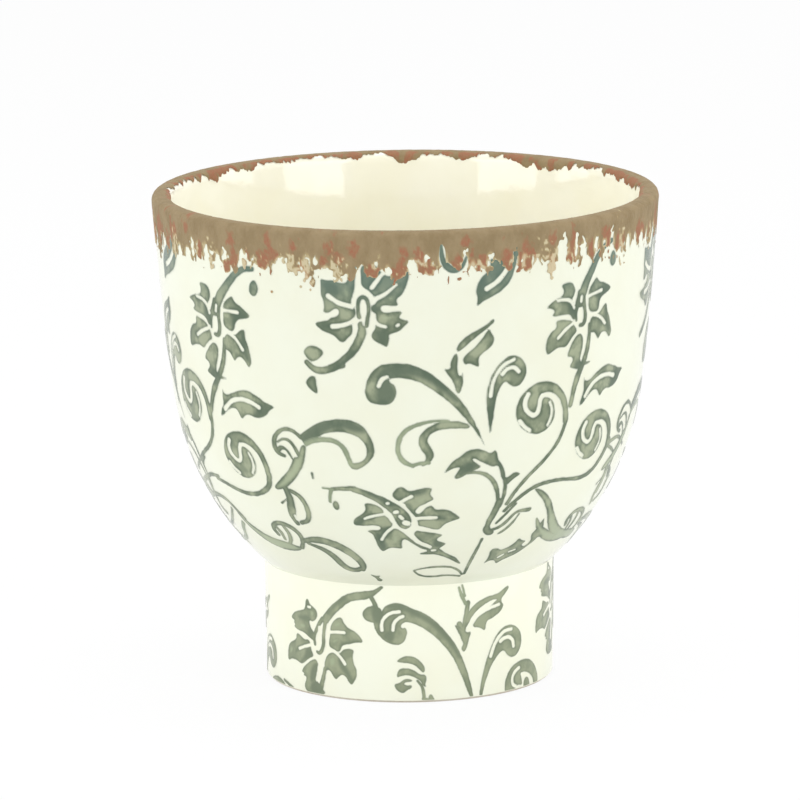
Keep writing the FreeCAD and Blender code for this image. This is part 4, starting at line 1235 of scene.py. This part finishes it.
# Vine on the foot. The same pressed vine under the same green glaze, cut off by the crease and by the
# ground. It climbs to the right round the foot, three times in one turn.
FOOT_VINE_CELL = 0.7
FOOT_VINE_TOP = 0.5
FOOT_VINE_BOTTOM = 80.4
FOOT_STEP = (204.5, -15.5)
FOOT_SPRAY = {
    "stems": [
        ((2.4, 6, 5.8, 6.2, 6.2), [(-19, 1.4), (-24, 5.4), (-31, 7.6), (-38, 8.6), (-44, 10.6), (-50, 15.4),
         (-56, 20.6), (-61, 27)]),
        ((3.4, 3, 2.6, 2.2), [(-63.6, 27), (-67, 31.4), (-70, 37), (-71.4, 41), (-70.6, 46)]),
        ((3, 2.6, 3, 3.2, 2.2), [(-61, 27.6), (-62, 32), (-63, 37.6), (-63, 44), (-64.6, 49.6), (-67, 52),
         (-69, 51)]),
        ((3, 3.4, 4), [(-62.2, 62), (-64, 69), (-66, 76)]),
        ((3, 3.4, 3.6), [(-26.4, 8.4), (-24.4, 11.8), (-23, 15), (-22, 19)]),
        ((4, 2.4), [(34.6, 28.6), (38, 34)]), ((3.4, 3.4, 3), [(41, 14), (40, 20), (38.6, 27), (37.6, 33)]),
        ((2, 2.4, 2.6), [(5, 66.8), (8.4, 71), (9.4, 77), (9.4, 82)]),
        ((2.4, 2.4), [(9, 79.6), (16, 81.4)]),
    ],
    "faint": [
        ((2, 3.2, 2.4), [(34.4, 3), (36.4, 9), (39, 14.6)]), ((1.6, 2), [(36.8, 1.6), (38.6, 9)]),
    ],
    "fills": [
        [(-79.6, 22.4), (-78.8, 15.2), (-76.2, 14.8), (-75, 18.2), (-71.5, 19.8), (-68.6, 22), (-68, 25),
         (-69.6, 28.6), (-72.4, 30.2), (-76, 30), (-74.4, 34.6), (-71.6, 37.4), (-70, 39), (-71, 44),
         (-73.6, 43), (-76.5, 41.4), (-80, 39.6), (-84, 38.8), (-88, 38.2), (-91.6, 36.6), (-90, 34.6),
         (-92, 34), (-90.6, 32), (-94.6, 31), (-93, 28), (-89, 25.3), (-84, 24)],
        [(-89, 40.8), (-86.4, 41), (-83.4, 42.6), (-80, 44), (-77, 43.4), (-74.6, 45.6), (-74.6, 49.6),
         (-71.6, 54.4), (-76, 56.6), (-80.5, 60), (-84.6, 62.2), (-89, 60), (-95, 60), (-100, 62.4),
         (-99.5, 54.5), (-98, 50), (-94, 47.5), (-89.4, 45.4)],
        [(-71.4, 56.2), (-69, 57.4), (-67.8, 60.6), (-68.2, 66), (-70, 71.4), (-67.8, 73.4), (-65.4, 74),
         (-64.6, 77), (-61.6, 79.4), (-66, 82), (-77, 82), (-81.2, 78.6), (-81.4, 76), (-80, 72.6),
         (-79.4, 70), (-82.8, 69.6), (-81.4, 68.2), (-84.4, 67.4), (-82.6, 64.4), (-79.4, 61.4),
         (-75.4, 58.4)],
        [(-57.2, 33), (-56.4, 29.6), (-53.6, 26.2), (-50.4, 24.4), (-48, 24.6), (-46.4, 28), (-43.4, 31.2),
         (-39, 33), (-35, 36), (-31.8, 41), (-37, 40.8), (-41.4, 42.3), (-46, 43.2), (-48.6, 45),
         (-49.3, 47.6), (-51.6, 49.2), (-55, 47.4), (-58.8, 46), (-58.2, 41), (-57.4, 37)],
        [(-62.8, 59), (-61.4, 53.6), (-58.4, 50.2), (-54, 49.6), (-49.6, 49.8), (-47.6, 46.8),
         (-43.4, 45.6), (-38.8, 46.6), (-40.4, 50.6), (-39.6, 56.4), (-37.4, 60), (-37.4, 64.4),
         (-38.6, 67.8), (-41.2, 71.6), (-43.6, 69.6), (-45.2, 66.4), (-48, 64.4), (-51, 66.4), (-53.4, 69),
         (-56, 66.2), (-57.6, 63.2), (-60, 62.4), (-62.6, 65)],
        [(-33, 20.4), (-31, 16.6), (-27, 14.6), (-22.6, 14), (-18.6, 17.2), (-18, 21.4), (-20.4, 25.2),
         (-24, 26.4), (-28, 26), (-31.4, 24.4)],
        [(-19, 17.4), (-16, 13.8), (-12, 12.2), (-7, 12), (-2.6, 13.6), (2, 16), (7, 17.8), (12.6, 21),
         (18.6, 26), (24, 32), (28.6, 38), (32, 42.6), (35.6, 50), (38.4, 57), (40.6, 63), (43, 72),
         (45.4, 82), (42.4, 82), (39, 73), (35.6, 64.4), (31, 53.8), (26, 46), (20, 39), (14.6, 33.8),
         (9, 29.6), (3.4, 26.8), (-1.4, 25.2), (-4.4, 26), (-6.2, 28.4), (-5, 30), (-3, 29), (-1.6, 32),
         (-2.4, 36.6), (-5, 40.4), (-9, 41.8), (-14, 40.6), (-19, 37.6), (-23, 33), (-24.8, 28),
         (-24.6, 24.6), (-20.6, 23)],
        [(-9.8, 53.4), (-7, 50.6), (-2.6, 49), (2.4, 49.6), (6.4, 52), (9.4, 56), (10.4, 59.6), (9, 61.4),
         (6.4, 59), (3.6, 56), (0, 54.6), (-5, 54)],
        [(-9.4, 64.8), (-8.6, 60), (-6, 57.8), (-1, 57.8), (3.4, 59.6), (6.6, 62.4), (10.8, 62.6),
         (11.4, 66), (10, 69.4), (11.4, 71.4), (9, 71), (7, 67), (3.4, 64.4), (-1, 62.8), (-5.6, 63)],
        [(-11, 69), (-7.4, 68.4), (-5, 66), (-1.4, 65), (2, 66.6), (0, 67.4), (-3, 67.8), (-4.4, 69),
         (-2.4, 70), (1, 69.6), (1, 72), (-2.4, 73.4), (-4.6, 75.8), (-8, 74.8), (-10.4, 72)],
        [(12.4, 78.6), (13.4, 76.4), (15.4, 77), (17, 82), (13, 82)],
        [(74.4, 6.4), (74.6, 8.6), (70.4, 12.6), (67.8, 14.6), (68, 17.4), (69.8, 19), (68.4, 22),
         (65.4, 24.8), (60, 27.2), (55, 28.8), (54.2, 35.6), (51, 33.4), (48, 32), (45, 32.2), (44.6, 28.6),
         (47, 25), (51, 22.8), (55.6, 20.6), (60, 17.4), (65, 14.4), (60, 14.4), (54, 16.6), (48.6, 19.6),
         (44, 24), (41.4, 28.6), (38.6, 32.6), (37.4, 30), (38.8, 24.4), (41.6, 20), (46, 15.6), (52, 12.8),
         (58, 11.2), (65, 10.8), (70.6, 7.4)],
        [(30.6, 28.4), (34, 30), (38, 32), (40, 35.4), (43.6, 34), (41.6, 40), (40, 46), (37.6, 49),
         (35.6, 45.4), (37.6, 42.6), (36, 40), (34.6, 36)],
        [(49, 84), (50, 74), (52.4, 64), (55, 56), (58.4, 48), (62.4, 40.6), (67, 36.2), (73, 34),
         (79.6, 35), (85, 39), (87.6, 44.6), (87, 51), (83.4, 56.4), (77.6, 58), (73, 55.6), (70.4, 51.6),
         (67.6, 51.6), (62.8, 55.8), (58.2, 62), (54.8, 70), (52.2, 78), (51, 84)],
        [(71, 84), (70.6, 76), (72.4, 70), (76.4, 65), (82, 62.2), (89, 61), (96, 62), (102, 66),
         (106, 71.4), (108.4, 78), (107, 84), (101.6, 84), (102, 79.6), (99.6, 75), (95, 71.6), (89.6, 70),
         (86, 70.4), (88, 75), (88.4, 79.6), (83.4, 78), (81, 80.4), (82, 84)],
        [(89.8, 84), (89.6, 77), (92, 74.2), (95, 74.8), (97, 78.6), (96.6, 84)],
    ],
    "veins": [
        (2.2, [(-86, 51.4), (-81, 49), (-74, 46.8)]), (2.2, [(-58.4, 35.8), (-53, 35), (-46.4, 34.8)]),
        (2.2, [(-58.6, 47.2), (-53, 49.4), (-49, 53), (-46.2, 57)]),
        (2.4, [(-66.6, 54), (-67, 60), (-68.4, 66), (-69.6, 71)]), (1.6, [(-76.4, 20.4), (-74.6, 20.4)]),
        (2.2, [(-74, 31), (-71.8, 35.4)]), (2, [(-66.6, 33.4), (-67.2, 39), (-67.4, 46)]),
        (2.2, [(-7, 18.2), (-12, 18.6), (-16.6, 21.4), (-19.4, 26), (-19, 31.4)]),
        (2.2, [(-4.6, 21.4), (-8, 22.8), (-11, 26.4), (-11.4, 31)]),
        (2.2, [(65.6, 18.4), (58, 19.8), (50, 22.4), (45, 27), (41.6, 33.6)]),
        (2.4, [(58.6, 54), (61, 47.4), (65, 41.6), (70.4, 37.6), (77, 37.6)]),
        (2.6, [(67, 44.6), (70.6, 42.6), (75, 42.6), (78.6, 45.6), (79.2, 50)]),
        (2.4, [(84.8, 66.4), (80.4, 68.4), (77.6, 72.6), (78.4, 77.4), (81.4, 79)]),
    ],
    # Painted shade over the shapes
    "painted_shade_fills": [
        [(-25.6, 13), (-20, 14), (-17, 18), (-19, 24), (-22.4, 28), (-26, 24)],
        [(-71, 38), (-74, 42), (-78, 40), (-76, 34), (-72, 30)],
        [(-70, 70), (-65, 74), (-62, 80), (-74, 81), (-76, 76)],
        [(-18, 15), (-8, 12), (2, 16), (14, 22), (28, 36), (36, 52), (34, 53), (26, 39), (13, 26), (0, 19),
         (-8, 16)],
        [(-12, 32), (-10, 37), (-14, 40), (-19, 36), (-16, 32)],
        [(-86, 28), (-77, 26), (-74, 28), (-75, 31), (-80, 30.6), (-86, 30)],
        [(-79.4, 16), (-76, 15), (-75.4, 18), (-78, 21)],
        [(-90, 51), (-84, 48.6), (-78, 46.6), (-86, 52), (-91, 56)],
        [(-80, 50), (-75, 50), (-72.6, 54), (-78, 57), (-84, 61.6), (-86, 60.6), (-80, 55)],
        [(-74, 62), (-69, 58), (-68, 64), (-70, 70), (-75, 74), (-76, 70)],
        [(-50, 44), (-46, 41), (-36, 39), (-33, 41), (-44, 43)],
        [(-52, 52), (-46, 57), (-42, 64), (-40, 70), (-44, 66), (-50, 60)],
        [(-62.6, 64), (-60, 60), (-56, 65), (-61, 62)],
        [(-56, 20), (-50, 15), (-44, 11), (-46, 9), (-54, 15), (-60, 24)],
    ],
    # Painted light over the shapes
    "painted_light_fills": [
        [(2, 25), (12, 29), (22, 38), (30, 49), (28, 46.6), (20, 40), (11, 32), (3, 27)],
        [(-92, 28), (-86, 25), (-80, 25.4), (-86, 28)], [(-87, 33), (-79, 31.6), (-78, 36), (-84, 37.4)],
        [(-76, 21.4), (-70, 21.6), (-70, 27), (-75, 28)], [(-98, 52), (-93, 49.4), (-92, 55), (-98, 59)],
        [(-90, 57), (-82, 54.6), (-82, 57.6), (-90, 59)], [(-82, 66), (-77, 62), (-76, 68), (-79, 69)],
        [(-80, 74), (-77, 72), (-76, 77), (-79, 78)], [(-55, 29), (-50, 26), (-47, 30), (-54, 33)],
        [(-57, 40), (-50, 38), (-50, 42), (-56, 45)], [(-60, 54), (-54, 51), (-52, 58), (-58, 62)],
    ],
}
# Tail of a leaf at the ground, on the left of the front
FOOT_TAIL = {"stems": [((2, 2.6, 2.2), [(-106, 77.2), (-100, 79), (-91, 82.4)])]}
foot_vine = Drawing(TURN_LENGTH, FOOT_VINE_TOP, FOOT_VINE_BOTTOM, FOOT_VINE_CELL)
for steps in (-1, 0, 1):
    foot_vine.lay(FOOT_SPRAY, HERE, shifted(HERE, steps * FOOT_STEP[0], steps * FOOT_STEP[1]))
foot_vine.lay(FOOT_TAIL)
make_vine("vine_on_foot", foot_vine, foot_points, 0.0, foot_profile, 1)


# Floor and light. A pale paper sweep under the pot, a broad soft lamp and a strip on each side, and one
# lamp overhead. Floor and sky look white, and the floor keeps a little of the pot's shadow.
FLOOR_SIZE = 6.0
FLOOR_DROP = 0.0002
FLOOR_COLOUR = (0.92, 0.925, 0.93, 1)
FLOOR_ROUGHNESS = 0.9
FLOOR_GLOW = 0.93
SKY_STRENGTH = 0.62
WHITE = (1, 1, 1, 1)
# Lamps: place, width and height, power
LAMPS = {
    "left_softbox": ((-1.63, -1.16, 0.8), (1.25, 1.2), 12),
    "right_softbox": ((1.49, -1.34, 0.8), (1.25, 1.2), 12),
    "left_strip": ((-1.8, 0.16, 0.6), (0.8, 1.1), 5),
    "right_strip": ((1.8, 0.16, 0.6), (0.8, 1.1), 5),
    "top_softbox": ((0.1, 0.3, 1.9), (1.2, 1.2), 14),
}


def show_white(tree, lit, glow, output, share):
    """The camera and rays from gloss or glass meet white light, by a share. Other rays meet what is lit."""
    ray = add(tree, "ShaderNodeLightPath").outputs
    seen = work_out(tree, "MAXIMUM", ray["Is Camera Ray"], ray["Is Glossy Ray"])
    seen = work_out(tree, "MAXIMUM", seen, ray["Is Transmission Ray"])
    white = add(tree, glow, {"Color": WHITE, "Strength": 1.0}).outputs[0]
    sockets = {0: work_out(tree, "MULTIPLY", seen, share), 1: lit.outputs[0], 2: white}
    mixed = add(tree, "ShaderNodeMixShader", sockets).outputs[0]
    tree.links.new(mixed, tree.nodes[output].inputs["Surface"])


def make_floor():
    paper = bpy.data.materials.new("pale_floor")
    paper.use_nodes = True
    shader = paper.node_tree.nodes["Principled BSDF"]
    shader.inputs["Base Color"].default_value = FLOOR_COLOUR
    shader.inputs["Roughness"].default_value = FLOOR_ROUGHNESS
    show_white(paper.node_tree, shader, "ShaderNodeEmission", "Material Output", FLOOR_GLOW)
    mesh = bpy.data.meshes.new("floor")
    half = FLOOR_SIZE / 2
    corners = [(-half, -half), (half, -half), (half, half), (-half, half)]
    mesh.from_pydata([(x, y, -FLOOR_DROP) for x, y in corners], [], [(0, 1, 2, 3)])
    mesh.materials.append(paper)
    floor = bpy.data.objects.new("floor", mesh)
    bpy.context.scene.collection.objects.link(floor)


def make_world():
    world = bpy.data.worlds.new("studio")
    bpy.context.scene.world = world
    world.use_nodes = True
    sky = world.node_tree.nodes["Background"]
    sky.inputs["Color"].default_value = WHITE
    sky.inputs["Strength"].default_value = SKY_STRENGTH
    show_white(world.node_tree, sky, "ShaderNodeBackground", "World Output", 1.0)


def make_lamp(name, place, size, power):
    data = bpy.data.lights.new(name, "AREA")
    data.shape = "RECTANGLE"
    data.size, data.size_y = size
    data.energy = power
    lamp = bpy.data.objects.new(name, data)
    lamp.location = place
    pot_middle = Vector((0, 0, POT_HEIGHT / 2))
    lamp.rotation_euler = (pot_middle - Vector(place)).to_track_quat("-Z", "Y").to_euler()
    bpy.context.scene.collection.objects.link(lamp)


make_floor()
make_world()
for lamp_name, lamp_values in LAMPS.items():
    make_lamp(lamp_name, *lamp_values)


# Camera. It looks down a little over the rim, a hair out of level, from the height and distance that fit the
# outline in the photograph. Its long lens keeps the sides nearly upright.
CAMERA_DISTANCE = 2.6
CAMERA_HEIGHT = 0.63
CAMERA_PITCH = math.radians(11.32)
CAMERA_ROLL = math.radians(-0.60)
CAMERA_LENS = 301.0
CAMERA_SHIFT = -0.0091
camera_data = bpy.data.cameras.new("camera")
camera_data.lens = CAMERA_LENS
camera_data.shift_x = CAMERA_SHIFT
camera = bpy.data.objects.new("camera", camera_data)
facing = Euler((math.pi / 2 - CAMERA_PITCH, 0, 0)).to_matrix() @ Matrix.Rotation(CAMERA_ROLL, 3, "Z")
camera.location = (0, -CAMERA_DISTANCE, CAMERA_HEIGHT)
camera.rotation_euler = facing.to_euler()
bpy.context.scene.collection.objects.link(camera)
bpy.context.scene.camera = camera
bpy.context.scene.view_settings.view_transform = "Standard"
